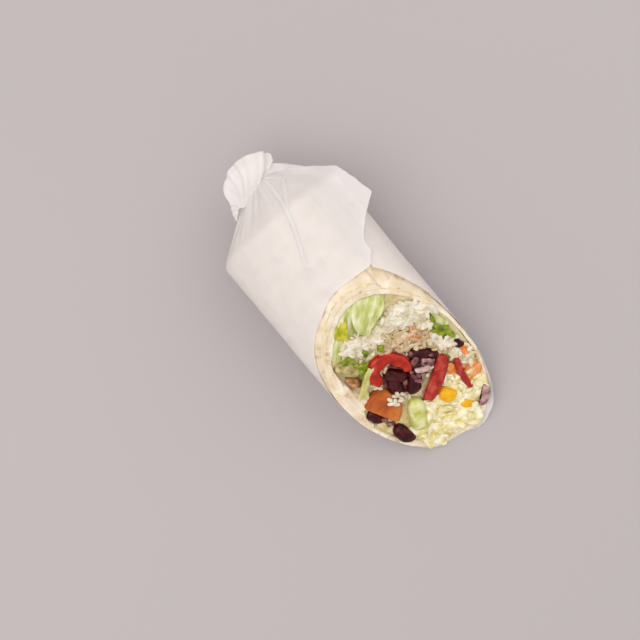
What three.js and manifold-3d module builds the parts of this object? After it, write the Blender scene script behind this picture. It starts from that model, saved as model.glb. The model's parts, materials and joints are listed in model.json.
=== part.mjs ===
// A rolled burrito in a sheet of thin white paper, lying on its side. One end is cut off on a long slant, so that
// the rolled flatbread and its filling show. The paper is gathered and twisted at the other end.
// Millimetres, +Z up. The roll lies along Y: the cut faces -Y and upwards, and the twist is at +Y.
// While the pieces are made, y is 0 near the closed end of the roll, x is 0 on its middle and z is 0 underneath.

import * as THREE from "three";
import { mergeVertices } from "three/addons/utils/BufferGeometryUtils.js";
import Module from "manifold-3d";

const wasm = await Module();
wasm.setup();

// The roll: a flattened round section, squarer below, which rests on a flat strip.
const ROLL_HALF_WIDTH = 38.3;
const ROLL_HEIGHT = 60;
const WIDEST_AT = 29.5; // height of the widest place
const BELOW_WIDEST = 31.3; // would reach under the floor, so it is cut flat there
const TOP_SQUARENESS = 2.06; // 2 is an ellipse
const TOP_LEFT_SQUARENESS = 1.82;
const BASE_SQUARENESS = 1.95;
const LEAN = 0.08; // how much the top rises towards the right

// The slanted cut, measured from the closed end along the roll.
const CUT_AT_TOP = 66;
const CUT_RUN = 101; // how much further forward the cut is at the floor
const CUT_SKEW = 0.2; // the right side is cut a little further forward

// The paper: drawn in from the shoulder to the neck, where it is twisted.
const PAPER = 0.5;
const SHOULDER = 15.6; // distance from the closed end at which the paper starts to draw in
const NECK = -8;
const NECK_SIZE = 0.14; // share of the roll's section that is left at the neck
const NECK_X = 5;
const NECK_Z = 36;
const GATHERS = 8;
const GATHER_DEPTH = 0.14;

// The flatbread: rolled one and a half turns, its outer edge on top and its inner edge low on the left.
const BREAD = 1.4;
const GAP = 0.35; // left between the turns and between neighbouring pieces
const OUTER_EDGE = 63; // degrees from the right side, up and over the top
const INNER_EDGE = 566;
const BREAD_END = 6; // the folded-in end, inside the paper

// The filling: rice above and chopped cabbage below.
const FILLING_END = 11.5;
const CABBAGE_TOP = 16.7;

const toRadians = THREE.MathUtils.degToRad;
const smooth = THREE.MathUtils.smoothstep;
const lerp = THREE.MathUtils.lerp;

const CUT_LENGTH = Math.hypot(ROLL_HEIGHT, CUT_RUN);
const CUT_COS = CUT_RUN / CUT_LENGTH;
const CUT_SIN = ROLL_HEIGHT / CUT_LENGTH;
const INSIDE_PAPER = PAPER + 0.3;
const TURN_PITCH = BREAD + GAP;

// Point of the roll's section at an angle from the right side, moved inwards by inset, in the XZ plane.
function sectionPoint(angle, inset) {
  const cos = Math.cos(angle);
  const sin = Math.sin(angle);
  const topPower = cos < 0 ? TOP_LEFT_SQUARENESS : TOP_SQUARENESS;
  const power = 2 / (sin > 0 ? topPower : BASE_SQUARENESS);
  const reach = (sin > 0 ? ROLL_HEIGHT - WIDEST_AT : BELOW_WIDEST) - inset;
  const x = (ROLL_HALF_WIDTH - inset) * Math.sign(cos) * Math.abs(cos) ** power;
  const lean = sin > 0 ? LEAN * x * sin : 0;
  const z = WIDEST_AT + reach * Math.sign(sin) * Math.abs(sin) ** power + lean;
  return new THREE.Vector2(x, Math.max(z, inset));
}

// How wide the roll is at a distance from the closed end, as a share of its full section.
function drawnIn(along) {
  const share = THREE.MathUtils.clamp((along - NECK) / (SHOULDER - NECK), 0, 1);
  return lerp(NECK_SIZE, 1, share);
}

// Point on a layer of the roll: angle round it, distance from the closed end, and inset from the paper's outside.
function rollPoint(angle, along, inset) {
  const size = drawnIn(along);
  const p = sectionPoint(angle, inset);
  return new THREE.Vector3(lerp(NECK_X, p.x, size), -along, lerp(NECK_Z, p.y, size));
}

// Distance of the slanted cut from the closed end.
function cutAlong(x, z) {
  return CUT_AT_TOP + ((ROLL_HEIGHT - z) / ROLL_HEIGHT) * CUT_RUN + CUT_SKEW * x;
}

// The cut face's own frame: x across, slope up it towards the top rim, and out of it.
const FACE_ACROSS = new THREE.Vector3(1, -CUT_SKEW, 0).normalize();
const FACE_UP = new THREE.Vector3(0, CUT_COS, CUT_SIN);
const FACE_OUT = new THREE.Vector3().crossVectors(FACE_ACROSS, FACE_UP).normalize();

// Point on the cut face: across it, down it from the top rim, and out of it.
function facePoint(x, down, out) {
  const z = ROLL_HEIGHT - down * CUT_SIN;
  return new THREE.Vector3(x, -cutAlong(x, z), z).addScaledVector(FACE_OUT, out);
}

// Sets a piece, made round the origin with its face towards +Z, on the cut face. Turns are in degrees.
function onFace(geometry, { x, down, out = 0, turn = 0, nod = 0, roll = 0 }) {
  const frame = new THREE.Matrix4().makeBasis(FACE_ACROSS, FACE_UP, FACE_OUT);
  const turned = new THREE.Matrix4().makeRotationFromEuler(
    new THREE.Euler(toRadians(nod), toRadians(roll), toRadians(turn), "ZYX"),
  );
  return geometry.applyMatrix4(turned).applyMatrix4(frame.setPosition(facePoint(x, down, out)));
}

// Moves each point of a geometry by a function.
function warp(geometry, move) {
  const position = geometry.getAttribute("position");
  const p = new THREE.Vector3();
  for (let i = 0; i < position.count; i++) {
    p.fromBufferAttribute(position, i);
    move(p);
    position.setXYZ(i, p.x, p.y, p.z);
  }
  return geometry;
}

// A geometry as a solid, with its faces pointing out.
function toSolid(geometry) {
  const bare = new THREE.BufferGeometry().setAttribute("position", geometry.getAttribute("position"));
  bare.setIndex(geometry.index);
  const merged = mergeVertices(bare, 1e-4);
  const triVerts = new Uint32Array(merged.index.array);
  const vertProperties = merged.getAttribute("position").array;
  const solid = new wasm.Manifold(new wasm.Mesh({ numProp: 3, vertProperties, triVerts }));
  if (solid.volume() > 0) return solid;
  for (let i = 0; i < triVerts.length; i += 3) {
    [triVerts[i + 1], triVerts[i + 2]] = [triVerts[i + 2], triVerts[i + 1]];
  }
  return new wasm.Manifold(new wasm.Mesh({ numProp: 3, vertProperties, triVerts }));
}

function joined(solids) {
  return wasm.Manifold.union(solids);
}

// The largest piece of a solid, without the scraps that a cut leaves.
function largest(solid) {
  return solid.decompose().reduce((a, b) => (a.volume() > b.volume() ? a : b));
}

function toMesh(name, solid, material) {
  const { vertProperties, triVerts } = solid.getMesh();
  const geometry = new THREE.BufferGeometry();
  geometry.setAttribute("position", new THREE.BufferAttribute(new Float32Array(vertProperties), 3));
  geometry.setIndex(new THREE.BufferAttribute(new Uint32Array(triVerts), 1));
  geometry.computeVertexNormals();
  const mesh = new THREE.Mesh(geometry, material);
  mesh.name = name;
  return mesh;
}

// A thin solid between two grids of points, whose faces are split into triangles alike.
function shell(columns, rows, outer, inner, closed = false) {
  const across = closed ? columns : columns + 1;
  const points = [];
  const faces = [];
  const at = (side, i, j) => side * across * (rows + 1) + j * across + (i % across);
  const quad = (a, b, c, d) => faces.push(a, b, c, a, c, d);
  for (const surface of [outer, inner]) {
    for (let j = 0; j <= rows; j++) {
      for (let i = 0; i < across; i++) points.push(...surface(i / columns, j / rows).toArray());
    }
  }
  for (let j = 0; j < rows; j++) {
    for (let i = 0; i < columns; i++) {
      quad(at(0, i, j), at(0, i + 1, j), at(0, i + 1, j + 1), at(0, i, j + 1));
      quad(at(1, i, j), at(1, i, j + 1), at(1, i + 1, j + 1), at(1, i + 1, j));
    }
    if (closed) continue;
    quad(at(0, 0, j), at(0, 0, j + 1), at(1, 0, j + 1), at(1, 0, j));
    quad(at(0, columns, j + 1), at(0, columns, j), at(1, columns, j), at(1, columns, j + 1));
  }
  for (let i = 0; i < columns; i++) {
    quad(at(1, i, 0), at(1, i + 1, 0), at(0, i + 1, 0), at(0, i, 0));
    quad(at(0, i, rows), at(0, i + 1, rows), at(1, i + 1, rows), at(1, i, rows));
  }
  const geometry = new THREE.BufferGeometry();
  geometry.setAttribute("position", new THREE.Float32BufferAttribute(points, 3));
  return geometry.setIndex(faces);
}

// A thin solid on one surface, thickened to both sides of it along z.
function leaf(columns, rows, surface, thickness) {
  const half = new THREE.Vector3(0, 0, thickness / 2);
  return shell(
    columns,
    rows,
    (u, v) => surface(u, v).add(half),
    (u, v) => surface(u, v).sub(half),
  );
}

// A rounded lump: squareness 2 is an egg, and more is nearer to a box.
function lump(halfX, halfY, halfZ, squareness, around = 8, down = 6) {
  const power = 2 / squareness;
  const stretch = (value) => Math.sign(value) * Math.abs(value) ** power;
  return warp(new THREE.SphereGeometry(1, around, down), (p) => {
    p.set(stretch(p.x) * halfX, stretch(p.y) * halfY, stretch(p.z) * halfZ);
  });
}

// A bar along x that bends in its own plane and has a flattened section.
function bar(length, width, thickness, bend, steps, sides) {
  return warp(new THREE.CylinderGeometry(1, 1, 1, sides, steps), (p) => {
    const along = p.y * 2;
    const taper = 1 - 0.25 * along ** 4;
    p.set((along * length) / 2, p.x * (width / 2) * taper + bend * along ** 2, p.z * (thickness / 2) * taper);
  });
}

// A value that runs smoothly through keys of degrees and value, round a full circle.
function aroundCircle(keys, degrees) {
  const angle = THREE.MathUtils.euclideanModulo(degrees, 360);
  const last = keys[keys.length - 1];
  const loop = [[last[0] - 360, last[1]], ...keys, [keys[0][0] + 360, keys[0][1]]];
  const next = loop.findIndex((key) => key[0] > angle);
  const [from, to] = [loop[next - 1], loop[next]];
  return lerp(from[1], to[1], smooth(angle, from[0], to[0]));
}

// How far back from the cut the paper's front edge lies, by the angle from the right side.
const PAPER_SETBACK = [
  [0, 2],
  [35, 7],
  [58, 10],
  [90, 3.2],
  [115, 2.4],
  [150, 5.5],
  [185, 2],
  [240, 1],
  [275, 1],
  [315, -3],
];

function paperFront(angle) {
  const p = sectionPoint(angle, 0);
  return cutAlong(p.x, p.y) - aroundCircle(PAPER_SETBACK, THREE.MathUtils.radToDeg(angle));
}

// The sheet round the roll, with folds that run into the neck.
function paperBody() {
  const rows = [0, 0.45, 0.9, 1];
  const endRows = [0.3, 0.65, 1];
  const surface = (inset) => (u, v) => {
    const angle = u * 2 * Math.PI;
    const row = Math.round(v * 6);
    const onEnd = row > 3;
    const along = onEnd
      ? lerp(SHOULDER, NECK, endRows[row - 4])
      : lerp(paperFront(angle), SHOULDER, rows[row]);
    const p = rollPoint(angle, along, inset);
    const gather = 1 + GATHER_DEPTH * (onEnd ? endRows[row - 4] ** 2 : 0) * Math.cos(GATHERS * angle);
    p.x = NECK_X + (p.x - NECK_X) * gather;
    p.z = NECK_Z + (p.z - NECK_Z) * gather;
    return p;
  };
  return toSolid(shell(48, 6, surface(0), surface(PAPER), true));
}

// The sheet's free side edge on the roll's top right. Its corner stands off the roll.
const FLAP_EDGE = [
  new THREE.Vector2(19.5, 64),
  new THREE.Vector2(25.5, 58.5),
  new THREE.Vector2(27.5, 52.5),
  new THREE.Vector2(36, 44.5),
  new THREE.Vector2(45.5, 35),
  new THREE.Vector2(42.4, 21.5),
  new THREE.Vector2(40, 13),
  new THREE.Vector2(30, 4.5),
  new THREE.Vector2(19, -3.5),
];
const FLAP_LEAVES_ROLL = 26; // x at which the flap goes on straight instead of round the roll
const FLAP_FALL = 0.5; // its slope from there
const FLAP_LIFT = 1.1;
const FLAP_FRONT = 53.5; // its front edge on the middle of the roll, level with the sheet's

function topOfRoll(x, along) {
  const size = drawnIn(along);
  const from = (x - NECK_X * (1 - size)) / size;
  const share = Math.min(Math.abs(from) / ROLL_HALF_WIDTH, 1);
  const squareness = from < 0 ? TOP_LEFT_SQUARENESS : TOP_SQUARENESS;
  const rise = (1 - share ** squareness) ** (1 / squareness);
  const lean = LEAN * from * rise ** (squareness / 2);
  return lerp(NECK_Z, WIDEST_AT + (ROLL_HEIGHT - WIDEST_AT) * rise + lean, size);
}

function paperFlap() {
  const columns = [0, 0.12, 0.4, 0.62, 0.8, 1];
  const steps = FLAP_EDGE.length - 1;
  const surface = (depth) => (u, v) => {
    const edge = FLAP_EDGE[Math.round(v * steps)];
    const share = columns[Math.round(u * 5)];
    const x = lerp(NECK_X - 2, edge.x, share);
    const along = lerp(Math.min(edge.y * 0.95, FLAP_FRONT), edge.y, share);
    const leaves = Math.min(FLAP_LEAVES_ROLL, lerp(NECK_X, ROLL_HALF_WIDTH * 0.72, drawnIn(along)));
    const onRoll = topOfRoll(Math.min(x, leaves), along);
    const z = onRoll - Math.max(0, x - leaves) * FLAP_FALL;
    const lift = share > 0.05 ? FLAP_LIFT : 0;
    return new THREE.Vector3(x, -along, z + lift - depth);
  };
  return toSolid(shell(5, steps, surface(0), surface(PAPER)));
}

// A long sharp fold that stands on the paper, along a curve of x and distance from the closed end.
function paperPleat(curve, width) {
  const across = [-0.5, -0.12, 0.12, 0.5];
  const surface = (lift) => (u, v) => {
    const middle = curve.getPoint(v);
    const column = Math.round(u * 3);
    const x = middle.x + across[column] * width * (1 - 0.75 * v);
    const inner = column === 1 || column === 2;
    const peak = inner ? 1.1 + 1.6 * (1 - v) : -0.2;
    return new THREE.Vector3(x, -middle.y, topOfRoll(x, middle.y) + (lift ? peak : -0.45));
  };
  return toSolid(shell(3, 5, surface(true), surface(false)));
}

// A pleated fan of paper round its gathered point. Degrees run from straight back, towards the right side.
function paperFan({ degrees, reaches, apex, slope, depth, rings, swirl }) {
  const steps = degrees.length - 1;
  const surface = (lift) => (u, v) => {
    const step = Math.round(u * steps);
    const reach = lerp(1.4, reaches[step], v);
    const fold = (step % 2 ? 1 : -1) * depth * v;
    const direction = toRadians(degrees[step] + swirl * (1 - v));
    return new THREE.Vector3(
      apex.x + Math.sin(direction) * reach,
      apex.y + Math.cos(direction) * reach,
      apex.z + slope(degrees[step]) * reach + fold + lift,
    );
  };
  return toSolid(shell(steps, rings, surface(PAPER / 2), surface(-PAPER / 2)));
}

// The twisted tail: a short stem from the neck, a large fan folded over the end, and smaller ones beside it.
function paperTail() {
  const stem = toSolid(
    warp(new THREE.CylinderGeometry(1, 1, 1, 8, 4), (p) => {
      const share = p.y + 0.5;
      const size = lerp(5.6, 4.2, share);
      const twist = share * 1.6;
      const along = p.x * Math.cos(twist) - p.z * Math.sin(twist);
      const up = p.x * Math.sin(twist) + p.z * Math.cos(twist);
      p.set(lerp(6, -3, share) + along * 0.4, lerp(5, 8.5, share) + along * size, lerp(36, 38, share) + up * size);
    }),
  );
  const large = paperFan({
    degrees: [61, 56, 51, 45, 39, 33, 27, 21, 15, 9, 2, -6, -16, -30, -60, -95, -122],
    reaches: [32.5, 30.9, 29.8, 28.3, 26.8, 25, 23.6, 22, 19, 17.4, 15.6, 12.8, 7.4, 5.4, 4.6, 5, 6],
    apex: new THREE.Vector3(-12.4, 1, 40),
    slope: (degrees) => lerp(-0.55, 0.1, smooth(degrees, -20, 58)),
    depth: 0.9,
    rings: 3,
    swirl: 30,
  });
  const tab = paperFan({
    degrees: [8, 22, 34, 44, 54, 66],
    reaches: [9, 11.4, 13.2, 14.4, 14.2, 11.5],
    apex: new THREE.Vector3(6.5, 5.5, 39.5),
    slope: () => -0.02,
    depth: 0.7,
    rings: 1,
    swirl: 0,
  });
  const under = paperFan({
    degrees: [58, 46, 34, 22, 10, -2, -14, -30, -60],
    reaches: [22, 23, 21.5, 20.5, 18, 16.5, 13, 8, 5],
    apex: new THREE.Vector3(-9, 1.5, 36.5),
    slope: () => -0.5,
    depth: 1.4,
    rings: 1,
    swirl: 0,
  });
  return [stem, large, tab, under];
}

function makePaper() {
  const longPleat = new THREE.CatmullRomCurve3([
    new THREE.Vector3(5.5, 1, 0),
    new THREE.Vector3(7, 13, 0),
    new THREE.Vector3(3, 27, 0),
    new THREE.Vector3(-6.5, 45, 0),
  ]);
  const shortPleat = new THREE.CatmullRomCurve3([
    new THREE.Vector3(14, 1, 0),
    new THREE.Vector3(11.5, 6, 0),
    new THREE.Vector3(9, 12, 0),
  ]);
  const pleats = [paperPleat(longPleat, 7), paperPleat(shortPleat, 6)];
  return largest(joined([paperBody(), paperFlap(), ...pleats, ...paperTail()]));
}

// A band of the rolled flatbread between two angles in degrees. Its inset may change with the angle.
function breadBand(fromDegrees, toDegrees, steps, insetAt, grow = 0) {
  const stations = [CUT_AT_TOP + CUT_RUN + 14, 80, 22, 12, BREAD_END];
  const surface = (depth) => (u, v) => {
    const degrees = lerp(fromDegrees, toDegrees, u);
    const along = stations[Math.round(v * 4)];
    const tighter = 1.2 * (1 - smooth(along, 10, 26));
    return rollPoint(toRadians(degrees), along, insetAt(degrees) + depth + tighter);
  };
  return toSolid(shell(steps, 4, surface(-grow), surface(BREAD + grow)));
}

// The roll itself: the inset grows by one pitch in the last part of the first turn.
function spiralInset(degrees) {
  return INSIDE_PAPER + TURN_PITCH * smooth(degrees, OUTER_EDGE + 290, OUTER_EDGE + 352);
}

// The side of the flatbread that was tucked in before rolling: ruffled folds against the left wall, which reach
// furthest in at the cut. Degrees round the roll, and how deep the folds reach there.
const TUCK = [
  [505, 3.6],
  [510, 4.6],
  [518.5, 6.4],
  [528.5, 9.4],
  [534, 10.6],
  [538, 12.6],
  [542, 15.6],
  [547, 16.2],
  [550.5, 11],
  [554, 6.4],
  [557, 4.8],
  [562, 3.6],
];
const TUCK_BEHIND = 62; // inwards of this distance from the closed end the folds have run out

function tuckFolds(grow = 0) {
  const stations = [CUT_AT_TOP + CUT_RUN + 14, 98, 80, TUCK_BEHIND];
  const surface = (depthAt) => (u, v) => {
    const [degrees, reach] = TUCK[Math.round(u * (TUCK.length - 1))];
    const along = stations[Math.round(v * 3)];
    return rollPoint(toRadians(degrees), along, depthAt(reach, smooth(along, TUCK_BEHIND, 98)));
  };
  const wall = INSIDE_PAPER + TURN_PITCH;
  const outer = surface(() => wall + 0.7 - grow);
  const inner = surface((reach, share) => lerp(wall + 1, reach, share) + grow);
  return toSolid(shell(TUCK.length - 1, 3, outer, inner));
}

// Everything in front of the slanted cut.
function beyondCut() {
  const block = new THREE.BoxGeometry(260, 260, 100).translate(0, 0, 50);
  return toSolid(onFace(block, { x: 0, down: CUT_LENGTH / 2 }));
}

// A full slice of the roll inside a given inset, from one distance to another.
function makeBread(front) {
  const end = toSolid(
    warp(new THREE.CylinderGeometry(1, 1, 1, 24, 1), (p) => {
      const along = p.y > 0 ? BREAD_END : BREAD_END + 5;
      const onAxis = Math.hypot(p.x, p.z) < 1e-6;
      const middle = new THREE.Vector3(0, -along, WIDEST_AT);
      p.copy(onAxis ? middle : rollPoint(Math.atan2(p.x, p.z), along, INSIDE_PAPER + 2));
    }),
  );
  const bands = [
    breadBand(OUTER_EDGE, INNER_EDGE, 44, spiralInset),
    tuckFolds(),
  ];
  return largest(joined([end, ...bands]).subtract(front));
}

// The room inside the flatbread, with the neighbouring gap taken off.
function fillingInset(angle) {
  const degrees = THREE.MathUtils.euclideanModulo(THREE.MathUtils.radToDeg(angle), 360);
  const twoTurns = smooth(degrees, 20, 50) * (1 - smooth(degrees, 207, 214));
  return INSIDE_PAPER + BREAD + GAP + 0.1 + TURN_PITCH * twoTurns;
}

// Bumps of the cut filling's surface.
function relief(x, down) {
  const wide = Math.sin(x * 0.31 + 1.7) * Math.cos(down * 0.23 + 0.4);
  const fine = Math.sin(x * 0.83 + down * 0.37) * Math.cos(down * 0.71 - x * 0.29);
  return 0.8 * wide + 0.5 * fine;
}

// The core of the filling: its cut surface is bumpy, and its sides follow the flatbread.
function fillingCore() {
  const around = 28;
  const rings = 5;
  const points = [];
  const faces = [];
  const backs = [FILLING_END, SHOULDER + 4];
  const place = (angle, share) => {
    const edge = sectionPoint(angle, fillingInset(angle));
    const x = edge.x * share;
    const z = lerp(WIDEST_AT, edge.y, share);
    const down = (ROLL_HEIGHT - z) / CUT_SIN;
    const back = 1.2 + (share === 1 ? 0.6 : relief(x, down));
    return new THREE.Vector3(x, -cutAlong(x, z) + back, z);
  };
  for (let row = 0; row < rings; row++) {
    for (let i = 0; i < around; i++) points.push(place((i / around) * 2 * Math.PI, 1 - row / rings));
  }
  for (const along of [...backs].reverse()) {
    for (let i = 0; i < around; i++) {
      const angle = (i / around) * 2 * Math.PI;
      points.push(rollPoint(angle, along, fillingInset(angle) + 1.4));
    }
  }
  points.push(place(0, 0), new THREE.Vector3(0, -FILLING_END, WIDEST_AT));
  const loops = [rings - 1, rings - 2, rings - 3, rings - 4, 0, rings, rings + 1];
  const middle = points.length - 2;
  for (let i = 0; i < around; i++) {
    const next = (i + 1) % around;
    faces.push(middle, loops[0] * around + i, loops[0] * around + next);
    for (let k = 0; k < loops.length - 1; k++) {
      const [a, b] = [loops[k] * around, loops[k + 1] * around];
      faces.push(a + i, b + i, b + next, a + i, b + next, a + next);
    }
    const last = loops[loops.length - 1] * around;
    faces.push(middle + 1, last + next, last + i);
  }
  const geometry = new THREE.BufferGeometry().setFromPoints(points);
  return toSolid(geometry.setIndex(faces));
}

// The toppings' shapes, each made round the origin. Grown by a clearance, the same shape cuts its pocket.
function beanShape(length, width, grow) {
  return warp(lump(length / 2 + grow, width / 2 + grow, width * 0.42 + grow, 2.2), (p) => {
    p.y += 1.6 * (p.x / (length / 2)) ** 2 - 0.8;
  });
}

function cornShape(size, grow) {
  return warp(lump(size / 2 + grow, size / 2 + grow, size * 0.36 + grow, 2.6), (p) => {
    p.x *= 1 - 0.16 * (p.y / (size / 2));
  });
}

function ringShape(radius, width, height, fromDegrees, toDegrees, grow) {
  return warp(new THREE.CylinderGeometry(1, 1, 1, 7, 10), (p) => {
    const share = p.y + 0.5;
    const direction = toRadians(lerp(fromDegrees, toDegrees, share));
    const taper = 1 - 0.45 * Math.abs(2 * share - 1) ** 5;
    const reach = radius + p.x * (width / 2 + grow) * taper;
    p.set(Math.cos(direction) * reach, Math.sin(direction) * reach, p.z * (height / 2 + grow) * taper);
  });
}

// A piece with a given outline and softened edges.
function chunkShape(outline, thickness, grow) {
  const shape = new THREE.Shape(outline.map(([x, y]) => new THREE.Vector2(x, y)));
  const geometry = new THREE.ExtrudeGeometry(shape, {
    depth: thickness - 2,
    bevelEnabled: true,
    bevelThickness: 1 + grow,
    bevelSize: 1 + grow,
    bevelOffset: -1,
    bevelSegments: 1,
  });
  return geometry.translate(0, 0, 1 - thickness / 2);
}

// A leaf: wide at the upper end, narrow at the lower one, with waves across it and a curl along it.
function leafShape({ wide, narrow, length, wave, waves, curl }, grow) {
  const surface = (u, v) => {
    const half = lerp(wide, narrow, v) / 2 + grow;
    const x = (u - 0.5) * 2 * half;
    const y = (0.5 - v) * (length + 2 * grow);
    const z = wave * Math.sin(u * waves * Math.PI + v) + curl * (v - 0.5) ** 2 * 4;
    return new THREE.Vector3(x, y, z);
  };
  return leaf(waves > 2 ? 9 : 4, 4, surface, 1 + 2 * grow);
}

// A small lobed herb leaf.
function herbShape(halfLength, halfWidth, lobes, grow) {
  const surface = (u, v) => {
    const angle = u * 2 * Math.PI;
    const reach = Math.max(v, 0.08) * (0.8 + 0.2 * Math.cos(lobes * angle));
    const x = Math.cos(angle) * reach * (halfLength + grow);
    const y = Math.sin(angle) * reach * (halfWidth + grow);
    return new THREE.Vector3(x, y, 0.8 * Math.cos(2 * angle) * v);
  };
  const half = new THREE.Vector3(0, 0, 0.4 + grow);
  return shell(
    14,
    2,
    (u, v) => surface(u, v).add(half),
    (u, v) => surface(u, v).sub(half),
    true,
  );
}

const bean = (length, width) => (grow) => beanShape(length, width, grow);
const corn = (size) => (grow) => cornShape(size, grow);
const leafOf = (sizes) => (grow) => leafShape(sizes, grow);
const herb = (length, width, lobes) => (grow) => herbShape(length, width, lobes, grow);
const chunk = (outline, thickness) => (grow) => chunkShape(outline, thickness, grow);
const ring = (radius, width, height, from, to) => (grow) => ringShape(radius, width, height, from, to, grow);
const stick = (length, width, thickness, bend) => (grow) =>
  bar(length + 2 * grow, width + 2 * grow, thickness + 2 * grow, bend, 4, 6);
const soft = (length, width, thickness, squareness) => (grow) =>
  lump(length / 2 + grow, width / 2 + grow, thickness / 2 + grow, squareness);

const PEPPER_CHUNK = [
  [-9.3, 5.7],
  [-0.5, 11.7],
  [6.3, 9],
  [9, -1.2],
  [6, -7.7],
  [0.6, -13.2],
  [-3.8, -6.4],
];

const LEAF = { wide: 22, narrow: 5.5, length: 27, wave: 0.9, waves: 4, curl: -0.7 };
const FOLD = { wide: 6, narrow: 4.6, length: 21, wave: 0.7, waves: 2, curl: -0.6 };
const WALL_LEAF = { wide: 5, narrow: 7, length: 27, wave: 0.5, waves: 2, curl: 0.5 };
const RIBBON = { wide: 3.4, narrow: 5.4, length: 20, wave: 0.5, waves: 1, curl: 1 };
const RIM_LEAF = { wide: 5.6, narrow: 4.6, length: 12, wave: 0.5, waves: 1, curl: 0.4 };

// Every topping that shows in the cut: its name, colour and shape, and its place on the cut face.
const toppings = [
  ["pepper_ring", "pepperRed", ring(8.5, 7.2, 5.4, -26, 204), { x: -6.3, down: 55.2, out: 2.2, nod: -12 }],
  ["pepper_chunk", "pepperOrange", chunk(PEPPER_CHUNK, 7), { x: -20.1, down: 74, out: -1 }],
  ["cucumber_stick", "cucumber", soft(22, 9, 8, 3.2), { x: -9, down: 88.4, out: 0.6, turn: 67 }],
  ["pepper_strip_long", "pepperDark", stick(29.5, 7.4, 4.6, 1.2), { x: 11.2, down: 73, out: 1.8, turn: 45 }],
  ["pepper_strip_short", "pepperDark", stick(20.5, 3.6, 3.4, -1.2), { x: 22.6, down: 78.2, out: 1.8, turn: 82 }],
  ["corn_kernel", "corn", corn(9.4), { x: 9.7, down: 85.9, out: 1.4, turn: 25 }],
  ["corn_kernel_low", "corn", corn(7), { x: 15.2, down: 98, out: 0, turn: 70 }],
  ["bean_in_ring", "bean", bean(14.5, 9.6), { x: -5.4, down: 60.2, out: -1.6, turn: -44 }],
  ["bean_below_ring", "bean", bean(14.5, 9), { x: -9.9, down: 67.6, out: -1.2, turn: 70 }],
  ["bean_middle", "bean", bean(16.5, 7.8), { x: 0, down: 69, out: 0.2, turn: 56 }],
  ["bean_upper", "bean", bean(16.5, 10.4), { x: 12.4, down: 56.8, out: -0.6, turn: -42 }],
  ["bean_left", "bean", bean(11.5, 7), { x: -27.5, down: 78.1, out: -1, turn: -74 }],
  ["bean_front", "bean", bean(14.5, 9), { x: -21.4, down: 95.9, out: 0.6, turn: -80 }],
  ["bean_right", "beanPale", bean(14.5, 5), { x: 25, down: 97.8, out: 2.6, turn: 52 }],
  ["bean_rim", "bean", bean(7.4, 5), { x: 31.1, down: 60.5, out: -0.4, turn: -74 }],
  ["mushroom_slice", "mushroom", soft(13.4, 8.4, 6, 2.8), { x: -22.6, down: 42.4, out: -0.6, turn: -50 }],
  ["mushroom_end", "mushroomBrown", soft(9.6, 5.6, 5, 2.2), { x: -24.5, down: 51.4, out: -0.8, turn: -64 }],
  ["onion_piece", "onion", stick(10, 3.6, 2.2, 0.6), { x: 8.7, down: 63.4, out: 2.6, turn: -14 }],
  ["herb_leaf_low", "herb", herb(6.4, 4.2, 3), { x: -16.7, down: 45.3, out: 2, turn: -108 }],
  ["herb_leaf_right", "herb", herb(8, 4.4, 5), { x: 28.4, down: 48.7, out: 1.4, turn: -60 }],
  ["herb_stem", "herb", stick(11, 1.8, 1.6, 0.5), { x: 28.2, down: 37.6, out: 1, turn: -104 }],
  ["lettuce_leaf", "lettuce", leafOf(LEAF), { x: 3, down: 16.2, out: 1.8, turn: -40, nod: -2 }],
  ["lettuce_fold", "lettuceYellow", leafOf(FOLD), { x: -10.2, down: 16.6, out: 0.6, turn: -37, roll: 12 }],
  ["lettuce_wall", "lettuce", leafOf(WALL_LEAF), { x: -18.6, down: 22.8, out: -1.4, turn: -37, roll: 12 }],
  ["lettuce_ribbon", "lettuceYellow", leafOf(RIBBON), { x: -19.5, down: 53, out: 2.8, turn: -42, roll: 12 }],
  ["lettuce_rim", "lettuce", leafOf(RIM_LEAF), { x: 29.7, down: 42, out: -0.8, turn: 24, roll: -14 }],
];

const COLOURS = {
  paper: 0xf0eae4,
  bread: 0xead7b0,
  rice: 0xefe9d8,
  cabbage: 0xe6dca4,
  lettuce: 0xc9d08e,
  lettuceYellow: 0xc3bd4e,
  herb: 0x7d9b28,
  pepperRed: 0xc23420,
  pepperDark: 0xa81f26,
  pepperOrange: 0xc4651f,
  bean: 0x4e1a1f,
  beanPale: 0x9a7474,
  corn: 0xefb40c,
  cucumber: 0xc3c765,
  mushroom: 0xa8935f,
  mushroomBrown: 0xa06a38,
  onion: 0xc4a49c,
};

const material = (colour, roughness) =>
  new THREE.MeshStandardMaterial({ color: COLOURS[colour], roughness, metalness: 0 });

// Rice grains and chopped cabbage on the cut surface, spread evenly, with seeded sizes and turns.
const RICE_GRAINS = 40;
const CABBAGE_BITS = 16;
const GRAIN_LENGTH = 8.6;
const GRAIN_WIDTH = 2.5;

function seeded(seed) {
  let state = seed;
  return () => {
    state = (state * 1664525 + 1013904223) % 4294967296;
    return state / 4294967296;
  };
}

function riceGrain(random) {
  const length = GRAIN_LENGTH * (0.75 + 0.35 * random());
  const grain = new THREE.SphereGeometry(1, 5, 3).scale(GRAIN_WIDTH / 2, length / 2, GRAIN_WIDTH / 2.2);
  return { grain, out: 0.5, turn: 360 * random(), nod: 40 * (random() - 0.5) };
}

function cabbageBit(random) {
  const grain = new THREE.OctahedronGeometry(1).scale(3.2 + 2 * random(), 2.4 + random(), 1.8);
  return { grain, out: 0.6, turn: 360 * random(), nod: 30 * (random() - 0.5) };
}

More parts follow.
